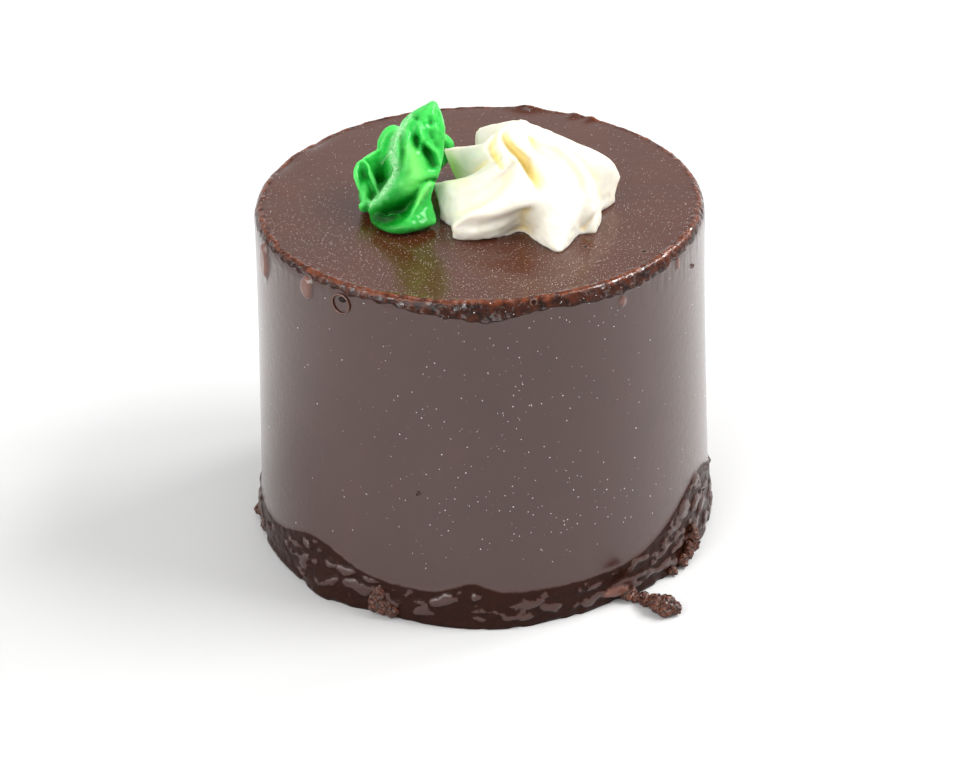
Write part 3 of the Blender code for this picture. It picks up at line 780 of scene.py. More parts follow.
cream = {
    "centre": (6.5, -3.5), "peak": (5.5, -3.5), "height": 12.0,
    "nib": 0.5, "nibRadius": 0.42, "nibFrom": 50.0, "valley": 0.6, "valleyRise": 0.5,
    "roundSide": 1.2, "steepSide": 1.4, "softCrest": 0.85, "undercut": 0.07,
    "columnsPerRidge": 24, "rows": 52, "rowEasing": 1.7, "lastClimb": 0.97,
    "skin": 0.2, "softening": 4, "carvedSoftening": 3, "sink": 0.4, "baseDrop": 0.02,
    # height, size of features and shift of the noise over it all, and of more of it low down
    "wobbles": ((0.10, 2.4, 6.0), (0.04, 0.9, 12.0)),
    "lowWobble": ((0.09, 0.8, 31.0),), "lowHeights": (0.5, 3.5),
    # attribute, smoothing rounds and span
    "hollows": (("hollow", 60, 0.5), ("dale", 400, 1.6)),
    "tones": ((0.665, 0.625, 0.52, 1), (0.705, 0.68, 0.605, 1)),
    # painted shade in the dales, hollows and carved creases, over the front face and in the foot's brown
    # hollow, and painted green reflection from the leaf; attribute, its values where the tint starts and is
    # full, share, tone
    "tints": (
        ("dale", 0.0, 1.0, 0.85, (0.80, 0.70, 0.42, 1)), ("hollow", 0.12, 0.8, 1.0, (0.82, 0.66, 0.28, 1)),
        ("carved", 0.05, 0.5, 0.6, (0.82, 0.72, 0.30, 1)), ("carved", 0.5, 1.4, 0.8, (0.80, 0.61, 0.19, 1)),
        ("beige", 0.0, 1.0, 0.6, (0.72, 0.66, 0.54, 1)), ("leafTint", 0.0, 1.0, 0.9, (0.66, 0.78, 0.22, 1)),
        ("shade", 0.0, 1.0, 0.3, (0.44, 0.28, 0.13, 1)),
    ),
    # shares of the way from the foot to the peak at which the ridges are given
    "climbs": (0.0, 0.1, 0.25, 0.4, 0.5, 0.58, 0.7, 0.85, 1.0),
    # creases and swellings as the camera sees them: x, y and width in pixels, depth in mm, and last how many
    # times wider the left side is
    "strokes": (
        ((503, 137, 2.0, 0.6), (509, 147, 2.6, 1.2), (517, 156, 2.4, 1.5), (526, 168, 2.2, 1.5),
         (535, 181, 2.6, 1.1), (539, 192, 4.0, 0.2), 2.6),
        ((497, 134, 2.5, 0.4), (491, 148, 2.6, 0.9), (496, 158, 2.6, 1.3), (502, 168, 2.0, 0.8), 1.0),
        ((529, 138, 2.6, 0.5), (534, 148, 3.0, 1.0), (543, 154, 5.0, 0.8), (554, 159, 8.0, 0.8),
         (565, 169, 10.0, 0.8), (577, 184, 11.0, 0.6), (588, 200, 8.0, 0.1), 1.6),
        ((505, 238, 7.0, 0.6), (518, 234, 9.0, 1.5), (528, 229, 9.0, 1.5), (536, 221, 8.0, 0.5), 1.0),
        ((597, 213, 2.0, 0.3), (590, 221, 2.5, 0.6), (583, 229, 2.5, 0.5), 1.0),
        ((452, 196, 4.0, -0.2), (480, 186, 5.0, -0.2), (505, 168, 4.0, -0.4), (514, 159, 3.0, -0.8), 1.0),
        ((458, 222, 4.0, -0.3), (470, 214, 5.0, -0.3), (500, 210, 6.0, 0.0), 1.0),
        ((459, 232, 5.0, -0.4), (475, 234, 8.0, -0.9), (495, 230, 8.0, -1.0), (513, 222, 6.0, -0.5), 1.0),
    ),
    # the first strokes' creases also get painted shade in their colour
    "creases": 3,  # the first strokes, which are also tinted
    # darker places and reflection, painted the same way: a pale brownish painted shade on the front face,
    # brown painted shade in the hollow at the foot, and green reflected from the leaf beside it
    "beige": (((468, 190, 13.0, 0.6), (488, 201, 15.0, 0.7), (505, 214, 10.0, 0.4), 1.0),),
    "shade": (((507, 238, 6.0, 0.5), (520, 234, 7.0, 1.0), (529, 231, 7.0, 1.0), (537, 222, 7.0, 0.3), 1.0),
              ((596, 214, 2.0, 0.3), (588, 224, 2.5, 0.6), (582, 230, 2.5, 0.4), 1.0)),
    # painted reflection: green light thrown onto the cream by the leaf beside it
    "leafTint": (((450, 158, 7.0, 0.5), (452, 172, 9.0, 1.0), (462, 178, 8.0, 0.4), 1.0),),
    # azimuths at the climbs, reach, lift of the tip, shares of the height reached at the climbs, depths of
    # the valley that follows, and where it lies between its ridges at the foot, half way and near the top
    "ridges": (
        ((13, 8, 4, 3, 4, 6, 4, -14, -30), 12.2, 2.8,
         (0, 0.28, 0.47, 0.6, 0.68, 0.74, 0.83, 0.93, 1.0),
         (1.0, 1.0, 0.9, 0.8, 0.8, 0.8, 0.6, 0.2, 0.0), (0.7, 0.5, 0.4)),
        ((58, 58, 58, 57, 56, 54, 48, 28, 10), 11.0, 0.8,
         (0, 0.32, 0.5, 0.63, 0.71, 0.76, 0.84, 0.94, 1.0),
         (0.9, 0.9, 0.9, 0.8, 0.8, 0.7, 0.5, 0.2, 0.0), (0.7, 0.5, 0.4)),
        ((122, 122, 122, 120, 118, 114, 104, 78, 60), 13.0, 5.8,
         (0, 0.16, 0.33, 0.48, 0.58, 0.66, 0.78, 0.92, 1.0),
         (1.0, 1.0, 0.9, 0.8, 0.7, 0.7, 0.5, 0.1, 0.0), (0.7, 0.6, 0.5)),
        ((151, 151, 151, 155, 160, 166, 152, 115, 100), 12.9, 6.0,
         (0, 0.03, 0.11, 0.23, 0.33, 0.43, 0.66, 0.9, 1.0),
         (1.0, 1.0, 1.0, 1.0, 1.0, 1.1, 0.9, 0.2, 0.0), (0.7, 0.85, 0.45)),
        ((180, 183, 191, 205, 221, 240, 200, 150, 130), 12.6, 3.9,
         (0, 0.03, 0.11, 0.25, 0.42, 0.65, 0.79, 0.94, 1.0),
         (0.3, 0.2, 0.12, 0.08, 0.05, 0.05, 0.05, 0.0, 0.0), (0.6, 0.6, 0.5)),
        ((219, 228, 244, 258, 264, 256, 210, 160, 140), 12.8, 1.7,
         (0, 0.15, 0.31, 0.48, 0.62, 0.74, 0.85, 0.95, 1.0),
         (1.2, 0.9, 0.25, 0.15, 0.7, 1.2, 1.2, 0.35, 0.0), (0.62, 0.36, 0.36)),
        ((285, 289, 295, 293, 287, 282, 263, 215, 195), 13.0, 0.2,
         (0, 0.11, 0.42, 0.66, 0.75, 0.8, 0.88, 0.96, 1.0),
         (0.4, 0.2, 0.1, 0.15, 0.25, 0.4, 0.5, 0.2, 0.0), (0.72, 0.7, 0.55)),
        ((318, 321, 326, 332, 335, 337, 330, 285, 265), 10.9, 0.3,
         (0, 0.4, 0.6, 0.71, 0.77, 0.82, 0.88, 0.96, 1.0),
         (0.55, 0.5, 0.45, 0.4, 0.4, 0.4, 0.4, 0.1, 0.0), (0.6, 0.5, 0.4)),
    ),
}
restLevel = cake["height"] + 0.3  # the toppings' underside in the solids


def atClimb(values, climb):
    # value on a smooth curve through those at the given climbs
    climbs = cream["climbs"]
    last = len(climbs) - 1
    index = min(int(np.searchsorted(climbs, climb, side="right")) - 1, last - 1)
    slopes = []
    for i in (index, index + 1):
        before, after = max(i - 1, 0), min(i + 1, last)
        slopes.append((values[after] - values[before]) / (climbs[after] - climbs[before]))
    width = climbs[index + 1] - climbs[index]
    share = (climb - climbs[index]) / width
    a, b = values[index], values[index + 1]
    return (a * (1 + 2 * share) * (1 - share) ** 2 + b * share ** 2 * (3 - 2 * share)
            + width * share * (1 - share) * (slopes[0] * (1 - share) - slopes[1] * share))


def crestShare(across, climb, valleyAt):
    # 1 on a ridge and 0 in its valley; a sharp edge at the foot, rounded above
    foot, middle, top = valleyAt
    valley = foot + (middle - foot) * smoothStep(climb, 0.05, 0.5)
    valley = valley + (top - middle) * smoothStep(climb, 0.5, 0.75)
    if across < valley:
        away = across / valley
        sharp = (1.0 - away) ** cream["roundSide"]
    else:
        away = (1.0 - across) / (1.0 - valley)
        sharp = (1.0 - away) ** cream["steepSide"]
    soft = (0.5 + 0.5 * math.cos(math.pi * away)) ** cream["softCrest"]
    return sharp + (soft - sharp) * smoothStep(climb, 0.0, 0.15)


def creamPoint(azimuth, radius, level, climb):
    shift = smoothStep(climb)
    x, y = (a + (b - a) * shift for a, b in zip(cream["centre"], cream["peak"]))
    turn = math.radians(azimuth)
    return (x + radius * math.cos(turn), y + radius * math.sin(turn), restLevel + level)


def creamRing(climb, under=0.0):
    # ring at this share of the way up; under, from 0 to 1, brings its lifted tips down onto the cake
    points = []
    ridges = cream["ridges"]
    for number, (turns, reach, tip, rises, depths, valley) in enumerate(ridges):
        nextTurns, nextReach, nextTip, nextRises, _, _ = ridges[(number + 1) % len(ridges)]
        fullTurn = 360.0 if number == len(ridges) - 1 else 0.0
        start, end = atClimb(turns, climb), atClimb(nextTurns, climb) + fullTurn
        startRise, endRise = atClimb(rises, climb), atClimb(nextRises, climb)
        depth = atClimb(depths, climb)
        for column in range(cream["columnsPerRidge"]):
            across = column / cream["columnsPerRidge"]
            share = crestShare(across, climb, valley)
            lift = (tip + (nextTip - tip) * across) * share
            rise = startRise + (endRise - startRise) * across
            rise = rise + (climb ** cream["valleyRise"] - rise) * (1.0 - share) * min(depth, 1.0)
            hanging = under * lift * smoothStep(lift, 1.5, 3.0)
            drawnIn = (1.0 - cream["valley"]) * depth * (1.0 - share) + cream["undercut"] * hanging
            radius = (reach + (nextReach - reach) * across) * (1.0 - drawnIn) * (1.0 - climb)
            level = lift * (1.0 - under) + (cream["height"] - lift) * rise
            points.append(creamPoint(start + (end - start) * across, radius, level, climb))
    return points


def makeWhippedCream():
    material, tree, shader = newMaterial(
        "whippedCream", IOR=1.42,
        Subsurface_Weight=0.3, Subsurface_Radius=(1.0, 0.72, 0.3), Subsurface_Scale=1.8 * mm)
    fine = useGroup(tree, unevenness, Broad=2.4, Fine=0.5, Grain=0.4)
    holes = useGroup(tree, dimples, Spacing=2.1, Radius=0.16)
    # painted shade in the hollows, dales and creases, and painted green reflection from the leaf
    colour = tinted(tree, blended(tree, fine["Cloud"], *cream["tones"]), cream["tints"])
    grain = bumped(tree, fine["Height"], 0.08, 0.5)
    feed(shader, Base_Color=colour, Roughness=ramped(tree, fine["Speck"], 0.3, 0.7, 0.36, 0.5),
         Normal=bumped(tree, holes["Height"], 0.1, 0.4, grain))
    return material


def ringsPiece(name, rings, lastPoint):
    # closed piece of rings, flat under the first one and drawn to a point over the last one
    columns = len(rings[0])
    points = [point for ring in rings for point in ring] + [lastPoint]
    faces = gridFaces(len(rings), columns)
    faces.append(list(range(columns))[::-1])
    lastRow = (len(rings) - 1) * columns
    faces += [[lastRow + i, lastRow + (i + 1) % columns, len(points) - 1] for i in range(columns)]
    return objectFromMesh(name, points, faces)


def makeRosette():
    base = [(x, y, z - cream["sink"] - cream["baseDrop"]) for x, y, z in creamRing(0.0, 1.0)]
    rings = [base, creamRing(0.0, 1.0), creamRing(0.0, 0.5)]
    for row in range(cream["rows"]):
        rings.append(creamRing(cream["lastClimb"] * (row / (cream["rows"] - 1)) ** cream["rowEasing"]))
    rosette = ringsPiece("creamRosette", rings, creamPoint(0.0, 0.0, cream["height"], 1.0))
    softSkin(rosette, cream["skin"], cream["softening"])
    carve(rosette, cream["strokes"])
    softSkin(rosette, cream["skin"], cream["carvedSoftening"])
    points = meshPoints(rosette.data)
    fromPeak = np.hypot(points[:, 0] / mm - cream["peak"][0], points[:, 1] / mm - cream["peak"][1])
    nib = cream["nib"] * mm * np.exp(-(fromPeak / cream["nibRadius"]) ** 2)
    points[:, 2] += nib * (points[:, 2] > cream["nibFrom"] * mm)
    low = 1.0 - smoothStep(points[:, 2] / mm - restLevel, *cream["lowHeights"])
    wobble = wobbleAt(points, cream["wobbles"]) + low * wobbleAt(points, cream["lowWobble"])
    movePoints(rosette.data, pushedOut(rosette.data, points, wobble))
    for name, rounds, span in cream["hollows"]:
        markHollows(rosette.data, name, rounds, span)
    # painted shade along the creases, over the front face and in the foot's hollow, and painted green
    # reflection from the leaf
    paintStrokes(rosette.data, "carved", cream["strokes"][:cream["creases"]])
    for name in ("leafTint", "beige", "shade"):
        paintStrokes(rosette.data, name, cream[name])
    rosette.data.shade_smooth()
    rosette.data.materials.append(makeWhippedCream())
    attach(rosette, "root")
    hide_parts("cream_rosette")


leaf = {
    "columns": 28, "rowsPerStation": 7, "nudge": 0.01, "marginShare": 0.5, "endShare": 0.45, "lowest": -0.35,
    "skin": 0.16, "softening": 3, "hollowRounds": 60, "hollowSpan": 0.4,
    # height, size of features and shift of the noise over it all, and of the bubbles in the torn margin
    "wobbles": ((0.09, 1.7, 6.0), (0.05, 0.6, 12.0)), "bubbleHeight": 0.28,
    "tones": ((0.006, 0.33, 0.032, 1), (0.03, 0.45, 0.06, 1)), "frothTone": (0.34, 0.62, 0.34, 1),
    # painted highlights and painted light on the upper body, lighter green on the raised folds, and painted
    # shade in hollows, creases and places the light hardly reaches; attribute, its values where the tint
    # starts and is full, share, tone
    "tints": (
        ("thin", 0.0, 1.0, 0.85, (0.20, 0.74, 0.15, 1)), ("hollow", -0.1, -0.9, 0.8, (0.11, 0.66, 0.13, 1)),
        ("hollow", 0.08, 0.9, 1.0, (0.0006, 0.14, 0.005, 1)),
        ("carved", 0.2, 1.3, 0.92, (0.0004, 0.10, 0.003, 1)),
        ("shade", 0.0, 1.0, 0.95, (0.0005, 0.15, 0.006, 1)),
        ("shade", 0.9, 1.7, 1.0, (0.0002, 0.045, 0.002, 1)),
    ),
    # thickness, direction in which the sheet is thickened, and 1 where it is thickened square to itself
    "sheets": {"blade": (2.7, (0.05, 1.0, 0.0), 0.0), "innerWall": (0.6, (0.9, 0.4, 0.0), 1.0),
               "outerWall": (0.75, (0.9, 0.2, -0.3), 1.0), "backWall": (0.9, (0.3, 0.9, 0.0), 1.0),
               "backLobe": (1.7, (0.45, -0.9, 0.0), 0.0), "sideLobe": (1.9, (-0.4, -0.9, 0.0), 0.0)},
    # each sheet's stations along its middle: left margin, middle and right margin
    "blade": (
        ((-6.2, -2.6, 14.2), (-5.6, -2.9, 14.5), (-5.1, -2.5, 14.0)),
        ((-8.7, -3.0, 12.9), (-6.3, -4.2, 13.2), (-4.5, -3.0, 12.5)),
        ((-10.1, -4.0, 11.3), (-7.0, -5.5, 11.6), (-4.2, -3.7, 10.8)),
        ((-10.8, -5.0, 9.1), (-8.3, -6.8, 9.5), (-4.4, -4.6, 8.6)),
        ((-11.0, -6.0, 6.4), (-8.4, -7.7, 6.6), (-4.9, -6.0, 6.4)),
        ((-12.4, -6.9, 4.1), (-9.1, -8.3, 4.2), (-6.1, -7.3, 3.8)),
        ((-14.0, -7.6, 2.4), (-9.7, -9.7, 2.7), (-5.9, -8.0, 2.0)),
        ((-13.9, -8.3, 0.9), (-9.9, -11.0, 1.1), (-5.5, -8.9, 0.8)),
        ((-13.0, -8.6, 0.05), (-9.9, -10.4, 0.05), (-5.9, -8.4, 0.05)),
    ),
    # the ruffle's two walls from the blade's foot round the loop
    "innerWall": (
        ((-12.4, -5.2, 0.6), (-12.6, -5.6, 2.0), (-12.9, -5.8, 3.3)),
        ((-13.0, -3.8, 1.0), (-13.2, -4.0, 2.8), (-13.5, -4.3, 4.1)),
        ((-13.6, -2.4, 1.8), (-13.8, -2.5, 3.4), (-14.1, -2.6, 4.8)),
        ((-14.2, -0.8, 2.4), (-14.3, -0.7, 4.0), (-14.5, -0.5, 5.3)),
        ((-14.8, 0.2, 2.6), (-14.9, 0.4, 4.2), (-15.1, 0.6, 5.4)),
    ),
    "outerWall": (
        ((-14.4, 0.3, 2.4), (-14.8, 0.7, 4.0), (-15.1, 0.9, 5.3)),
        ((-14.8, -0.4, 1.8), (-15.5, 0.0, 3.6), (-15.9, 0.2, 5.0)),
        ((-14.6, -1.6, 1.0), (-15.6, -1.3, 2.8), (-16.2, -1.1, 4.3)),
        ((-14.2, -3.2, 0.5), (-15.1, -3.0, 2.0), (-15.7, -2.8, 3.2)),
        ((-13.6, -4.8, 0.3), (-14.2, -4.8, 1.4), (-14.7, -4.8, 2.4)),
        ((-12.9, -6.0, 0.2), (-13.3, -6.1, 1.0), (-13.6, -6.2, 1.9)),
    ),
    "backWall": (
        ((-14.0, 0.4, 1.4), (-14.4, 0.7, 3.6), (-14.9, 0.8, 5.3)),
        ((-13.0, 1.3, 1.2), (-13.3, 1.6, 3.6), (-13.6, 1.8, 5.6)),
        ((-11.8, 1.9, 1.0), (-12.1, 2.3, 3.8), (-12.3, 2.6, 6.0)),
        ((-10.6, 2.0, 1.0), (-10.9, 2.4, 4.0), (-11.1, 2.8, 6.3)),
    ),
    "backLobe": (
        ((-13.0, 1.6, 1.6), (-12.0, 2.6, 1.6), (-9.2, 3.2, 1.6)),
        ((-13.2, 2.6, 4.2), (-11.8, 3.6, 4.4), (-9.0, 3.4, 4.6)),
        ((-13.1, 3.6, 6.2), (-11.4, 4.5, 6.6), (-9.0, 3.8, 6.8)),
        ((-12.6, 4.1, 7.4), (-11.2, 4.8, 7.9), (-9.6, 4.2, 7.8)),
        ((-11.9, 4.3, 8.0), (-11.1, 4.7, 8.3), (-10.3, 4.4, 8.2)),
    ),
    "sideLobe": (
        ((-10.0, 1.6, 0.6), (-10.4, 2.0, 3.2), (-10.0, 1.6, 6.2)),
        ((-7.2, 4.6, 0.6), (-7.4, 4.9, 3.4), (-7.2, 4.6, 6.4)),
        ((-4.6, 6.3, 1.2), (-4.5, 6.9, 3.9), (-4.6, 6.3, 6.3)),
        ((-3.3, 6.4, 3.0), (-3.0, 6.6, 4.2), (-3.3, 6.4, 5.2)),
    ),
    # filling behind the sheets: centre and half lengths
    "cores": (((-9.4, -3.4, 2.7), (2.6, 5.6, 2.6)), ((-11.0, -5.7, 1.8), (2.8, 2.2, 1.8)),
              ((-8.0, -2.9, 6.2), (2.1, 2.5, 6.0)), ((-9.8, 1.4, 3.0), (2.6, 2.6, 2.9)),
              ((-14.6, -2.0, 1.9), (0.9, 3.2, 1.5)), ((-12.4, -2.4, 1.3), (1.5, 3.6, 1.3)),
              ((-14.6, -5.0, 1.3), (0.9, 0.6, 0.8))),
    # folds as the camera sees them: x, y and width in pixels, depth in mm, and last how many times wider the
    # left side is
    "strokes": (
        ((371, 216, 7.0, 0.8), (384, 218, 8.0, 1.9), (396, 214, 7.5, 2.3), (405, 209, 6.0, 2.0),
         (413, 200, 4.5, 1.4), (418, 192, 3.5, 0.5), 1.6),
        ((411, 213, 4.0, -0.4), (418, 202, 3.6, -1.0), (424, 191, 3.6, -1.2), (430, 183, 3.0, -0.7), 1.0),
        ((415, 132, 3.0, 0.3), (416.5, 138, 3.4, 1.3), (417, 144, 3.4, 1.2), (418, 150, 2.5, 0.3), 1.0),
        ((406.5, 132, 3.2, -0.4), (408, 143, 3.2, -0.6), (409, 155, 3.5, -0.5), (408, 168, 4.0, -0.2), 1.0),
        ((418.5, 123, 2.6, -0.3), (421.5, 134, 2.6, -0.7), (424, 142, 2.6, -0.7), (430, 147, 2.6, -0.7),
         (437, 153, 2.6, -0.7), (441, 164, 2.8, -0.5), (442, 171, 3.0, -0.3), 1.0),
        ((423.5, 144, 2.6, 0.9), (426, 150, 4.0, 1.5), (429, 156, 5.0, 1.3), (432, 164, 5.0, 0.9), 1.0),
        ((445, 177, 2.2, 0.7), (436, 180, 2.4, 1.0), (428, 180.5, 2.4, 0.9), (420, 183, 2.4, 0.3), 1.0),
        ((401, 136, 2.6, 0.5), (403, 153, 2.8, 0.8), (401, 168, 2.8, 0.5), (397, 178, 3.0, 0.2), 1.0),
        ((414, 116, 2.6, 0.4), (417, 118, 2.6, 0.7), 1.0),
        ((430, 118, 2.4, 0.3), (430.5, 123, 2.6, 0.6), 1.0),
        ((438, 112, 2.2, 0.3), (439, 116, 2.2, 0.4), 1.0),
        ((431, 134, 2.6, 0.4), (432, 138, 2.6, 0.5), 1.0),
        ((436, 127, 2.0, -0.25), (438, 131, 2.0, -0.25), 1.0),
        ((434, 143, 2.0, 0.3), (437, 146, 2.0, 0.3), 1.0),
    ),
    # painted highlights and painted light on the upper body (thin), painted shade where the light hardly
    # reaches (shade), and the rough torn margin (froth)
    "thin": (((417, 203, 2.2, 0.8), (423, 192, 2.6, 1.6), (430, 183, 2.0, 0.8), 1.0),
             ((409, 148, 5.0, 0.8), (414, 162, 8.0, 1.0), (417, 174, 9.0, 1.0), (409, 186, 8.0, 0.5), 1.0)),
    "shade": (((368, 217, 7.0, 0.9), (379, 217, 9.0, 1.7), (391, 215, 9.0, 1.9), (401, 209, 8.0, 1.7),
               (409, 202, 5.0, 1.1), (415, 194, 3.0, 0.5), 1.0),
              ((398, 196, 9.0, 0.6), (385, 205, 7.0, 0.7), 1.0),
              ((373, 226, 6.0, 0.5), (390, 230, 8.0, 0.6), (410, 229, 8.0, 0.6), (428, 226, 9.0, 0.6), 1.0),
              ((383, 165, 7.0, 0.8), (381, 180, 7.0, 1.0), (378, 190, 5.0, 0.7), 1.0)),
    "froth": (((411, 115, 3.2, 0.6), (402, 128, 3.4, 0.9), (395, 140, 3.8, 1.0), (392, 154, 4.2, 1.0),
               (396, 168, 3.8, 1.0), (391, 181, 3.4, 1.0), (383, 192, 3.0, 0.9), (370, 205, 2.4, 0.8), 1.0),),
}


def easedStation(stations, place):
    # left margin, middle and right margin at a place along a sheet, on a smooth curve
    index = min(max(int(place), 0), len(stations) - 2)
    share = place - index
    around = (min(max(index + step, 0), len(stations) - 1) for step in (-1, 0, 1, 2))
    a, b, c, d = (np.array(stations[i]) for i in around)
    return 0.5 * (2 * b + (c - a) * share + (2 * a - 5 * b + 4 * c - d) * share ** 2
                  + (3 * b - a - 3 * c + d) * share ** 3)


def sheetPoint(stations, across, along):
    left, middle, right = easedStation(stations, along * (len(stations) - 1))
    bulge = 4.0 * across * (1.0 - across)
    return left + (right - left) * across + (middle - 0.5 * (left + right)) * bulge


def sheetNormal(stations, across, along, behind):
    beside = across + math.copysign(leaf["nudge"], 0.5 - across)
    beyond = along + math.copysign(leaf["nudge"], 0.5 - along)
    place = sheetPoint(stations, across, along)
    sideways = sheetPoint(stations, beside, along) - place
    onwards = sheetPoint(stations, across, beyond) - place
    normal = np.cross(sideways, onwards)
    normal /= max(float(np.linalg.norm(normal)), 1e-9)
    return normal if normal @ behind > 0 else -normal


def filled(least, share):
    # between least and 1, by the root of a share from 0 to 1
    return least + (1.0 - least) * math.sqrt(share)


def curvedSheet(name, thickness, behind, square):
    # sheet through its stations, thickened straight behind, or square to itself where square is 1
    stations = leaf[name]
    behind = np.array(behind, float)
    rings = []
    steps = (len(stations) - 1) * leaf["rowsPerStation"]
    lift = np.array([0.0, 0.0, restLevel])
    for row in range(steps + 1):
        along = row / steps
        front, back = [], []
        fullness = filled(leaf["endShare"], math.sin(math.pi * (row + 0.5) / (steps + 1)))
        for column in range(leaf["columns"] + 1):
            across = column / leaf["columns"]
            place = sheetPoint(stations, across, along)
            inward = behind * (1.0 - square) + square * sheetNormal(stations, across, along, behind)
            inward = inward / np.linalg.norm(inward)
            depth = thickness * fullness * filled(leaf["marginShare"], 4.0 * across * (1.0 - across))
            under = place + inward * depth
            place[2], under[2] = max(place[2], leaf["lowest"]), max(under[2], leaf["lowest"])
            front.append(place + lift)
            back.append(under + lift)
        rings.append(front + back[::-1])
    columns = len(rings[0])
    faces = gridFaces(len(rings), columns)
    faces.append(list(range(columns))[::-1])
    faces.append([(len(rings) - 1) * columns + i for i in range(columns)])
    piece = objectFromMesh(name, [point for ring in rings for point in ring], faces)
    facesOutwards(piece.data)
    return piece


def makeCore(centre, radii):
    def place(local):
        x, y, z = (centre[i] + radii[i] * local[i] for i in range(3))
        return x, y, z + restLevel

    return makeBall("core", place)


def makeGreenIcing():
    material, tree, shader = newMaterial(
        "greenIcing", IOR=1.4, Specular_IOR_Level=0.12, Coat_IOR=1.45, Coat_Roughness=0.06,
        Subsurface_Weight=0.2, Subsurface_Radius=(0.25, 1.0, 0.3), Subsurface_Scale=1.2 * mm)
    fine = useGroup(tree, unevenness, Broad=1.8, Fine=0.4, Grain=0.5)
    holes = useGroup(tree, dimples, Spacing=1.3, Radius=0.22)
    # painted highlights and lit patches, lighter raised folds, and painted shade in hollows and creases
    colour = tinted(tree, blended(tree, fine["Cloud"], *leaf["tones"]), leaf["tints"])
    specks = ramped(tree, fine["Speck"], 0.35, 0.6, 0.15, 0.9)
    rough = combined(tree, "MULTIPLY", readAttribute(tree, "froth"), specks)
    grain = bumped(tree, fine["Height"], 0.1, 0.7)
    feed(shader, Base_Color=blended(tree, rough, colour, leaf["frothTone"]),
         Roughness=ramped(tree, fine["Speck"], 0.3, 0.7, 0.22, 0.4),
         Coat_Weight=ramped(tree, readAttribute(tree, "carved"), 0.0, 0.8, 0.42, 0.03),
         Normal=bumped(tree, holes["Height"], 0.16, 0.8, grain))
    return material


def makeLeaf():
    parts = [curvedSheet(name, *values) for name, values in leaf["sheets"].items()]
    parts += [makeCore(*values) for values in leaf["cores"]]
    piping = joinPieces("leafPiping", parts)
    softSkin(piping, leaf["skin"], leaf["softening"])
    carve(piping, leaf["strokes"])
    softSkin(piping, leaf["skin"], leaf["softening"])
    paintStrokes(piping.data, "carved", leaf["strokes"])
    # the torn margin, the painted highlights and lit patches (thin), and the painted shade
    for name in ("froth", "thin", "shade"):
        paintStrokes(piping.data, name, leaf[name])
    torn = np.clip(attributeOf(piping.data, "froth"), 0.0, 1.0)
    points = meshPoints(piping.data)
    bubbles = np.abs(noiseAt(points / mm, 0.42, 51.0)) + 0.6 * noiseAt(points / mm, 0.9, 67.0)
    wobble = wobbleAt(points, leaf["wobbles"]) + leaf["bubbleHeight"] * torn * (bubbles - 0.1)
    movePoints(piping.data, pushedOut(piping.data, points, wobble))
    markHollows(piping.data, "hollow", leaf["hollowRounds"], leaf["hollowSpan"])
    piping.data.shade_smooth()
    piping.data.materials.append(makeGreenIcing())
    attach(piping, "root")
    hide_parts("leaf_piping")


glitter = {
    # scales of the flakes, and the power that makes more of them small; their tilt is in radians
    "thickness": 0.02, "corners": 4, "scales": (0.35, 1.0), "smallPower": 1.6, "tilt": 0.5,
    # flake radius, flakes in a square centimetre, seed
    "top": (0.045, 420.0, 7), "wall": (0.09, 34.0, 11),
    # where they lie: the top's edge, its back and front, levels of the wall, azimuth and spread on the wall
    "edge": 0.3, "topFront": (-20.0, 26.0), "topLeast": 0.2,
    "wallFrom": (6.0, 12.0), "wallSide": (8.0, 32.0), "wallLeast": 0.06,
    "silver": (0.36, 0.29, 0.20, 1), "gold": (0.42, 0.27, 0.10, 1),
}


def makeFlakeTree():
    # geometry nodes that strew tiny flat flakes over a surface, by its attribute 'sparkle'
    tree, given, result = makeTree("strewnFlakes", ("Density", "Radius", "Thickness"))
    sparkle = addNode(tree, "GeometryNodeInputNamedAttribute", {"Name": "sparkle"}, data_type="FLOAT")
    dense = combined(tree, "MULTIPLY", sparkle.outputs[0], given["Density"])
    scatter = addNode(tree, "GeometryNodeDistributePointsOnFaces", {
        "Mesh": given["Geometry"], "Density": dense, "Seed": given["Seed"]}, distribute_method="RANDOM")
    flake = addNode(tree, "GeometryNodeMeshCylinder", {
        "Vertices": glitter["corners"], "Side Segments": 1, "Radius": given["Radius"],
        "Depth": given["Thickness"]})
    scale = combined(tree, "POWER", randomValue(tree, *glitter["scales"], 3), glitter["smallPower"])
    tilt = glitter["tilt"]
    tilted = addNode(tree, "FunctionNodeRotateRotation", {
        "Rotation": scatter.outputs["Rotation"],
        "Rotate By": randomValue(tree, (-tilt, -tilt, 0.0), (tilt, tilt, 6.28), 5)}, rotation_space="LOCAL")
    placed = addNode(tree, "GeometryNodeInstanceOnPoints", {
        "Points": scatter.outputs["Points"], "Instance": flake.outputs["Mesh"],
        "Rotation": tilted.outputs[0], "Scale": scale})
    marked = addNode(tree, "GeometryNodeStoreNamedAttribute", {
        "Geometry": placed.outputs[0], "Name": "tint", "Value": randomValue(tree, 0.0, 1.0, 9)},
        data_type="FLOAT", domain="INSTANCE")
    plain = addNode(tree, "GeometryNodeRealizeInstances", {"Geometry": marked.outputs[0]})
    dressed = addNode(tree, "GeometryNodeSetMaterial", {
        "Geometry": plain.outputs[0], "Material": given["Material"]})
    tree.links.new(dressed.outputs[0], result[0])
    return tree


def makeGlitterFinish():
    material, tree, shader = newMaterial("glitterFlake", Metallic=0.7)
    tint = readAttribute(tree, "tint")
    feed(shader, Base_Color=blended(tree, ramped(tree, tint, 0.45, 0.75), glitter["silver"], glitter["gold"]),
         Roughness=ramped(tree, tint, 0.0, 1.0, 0.25, 0.45))
    return material


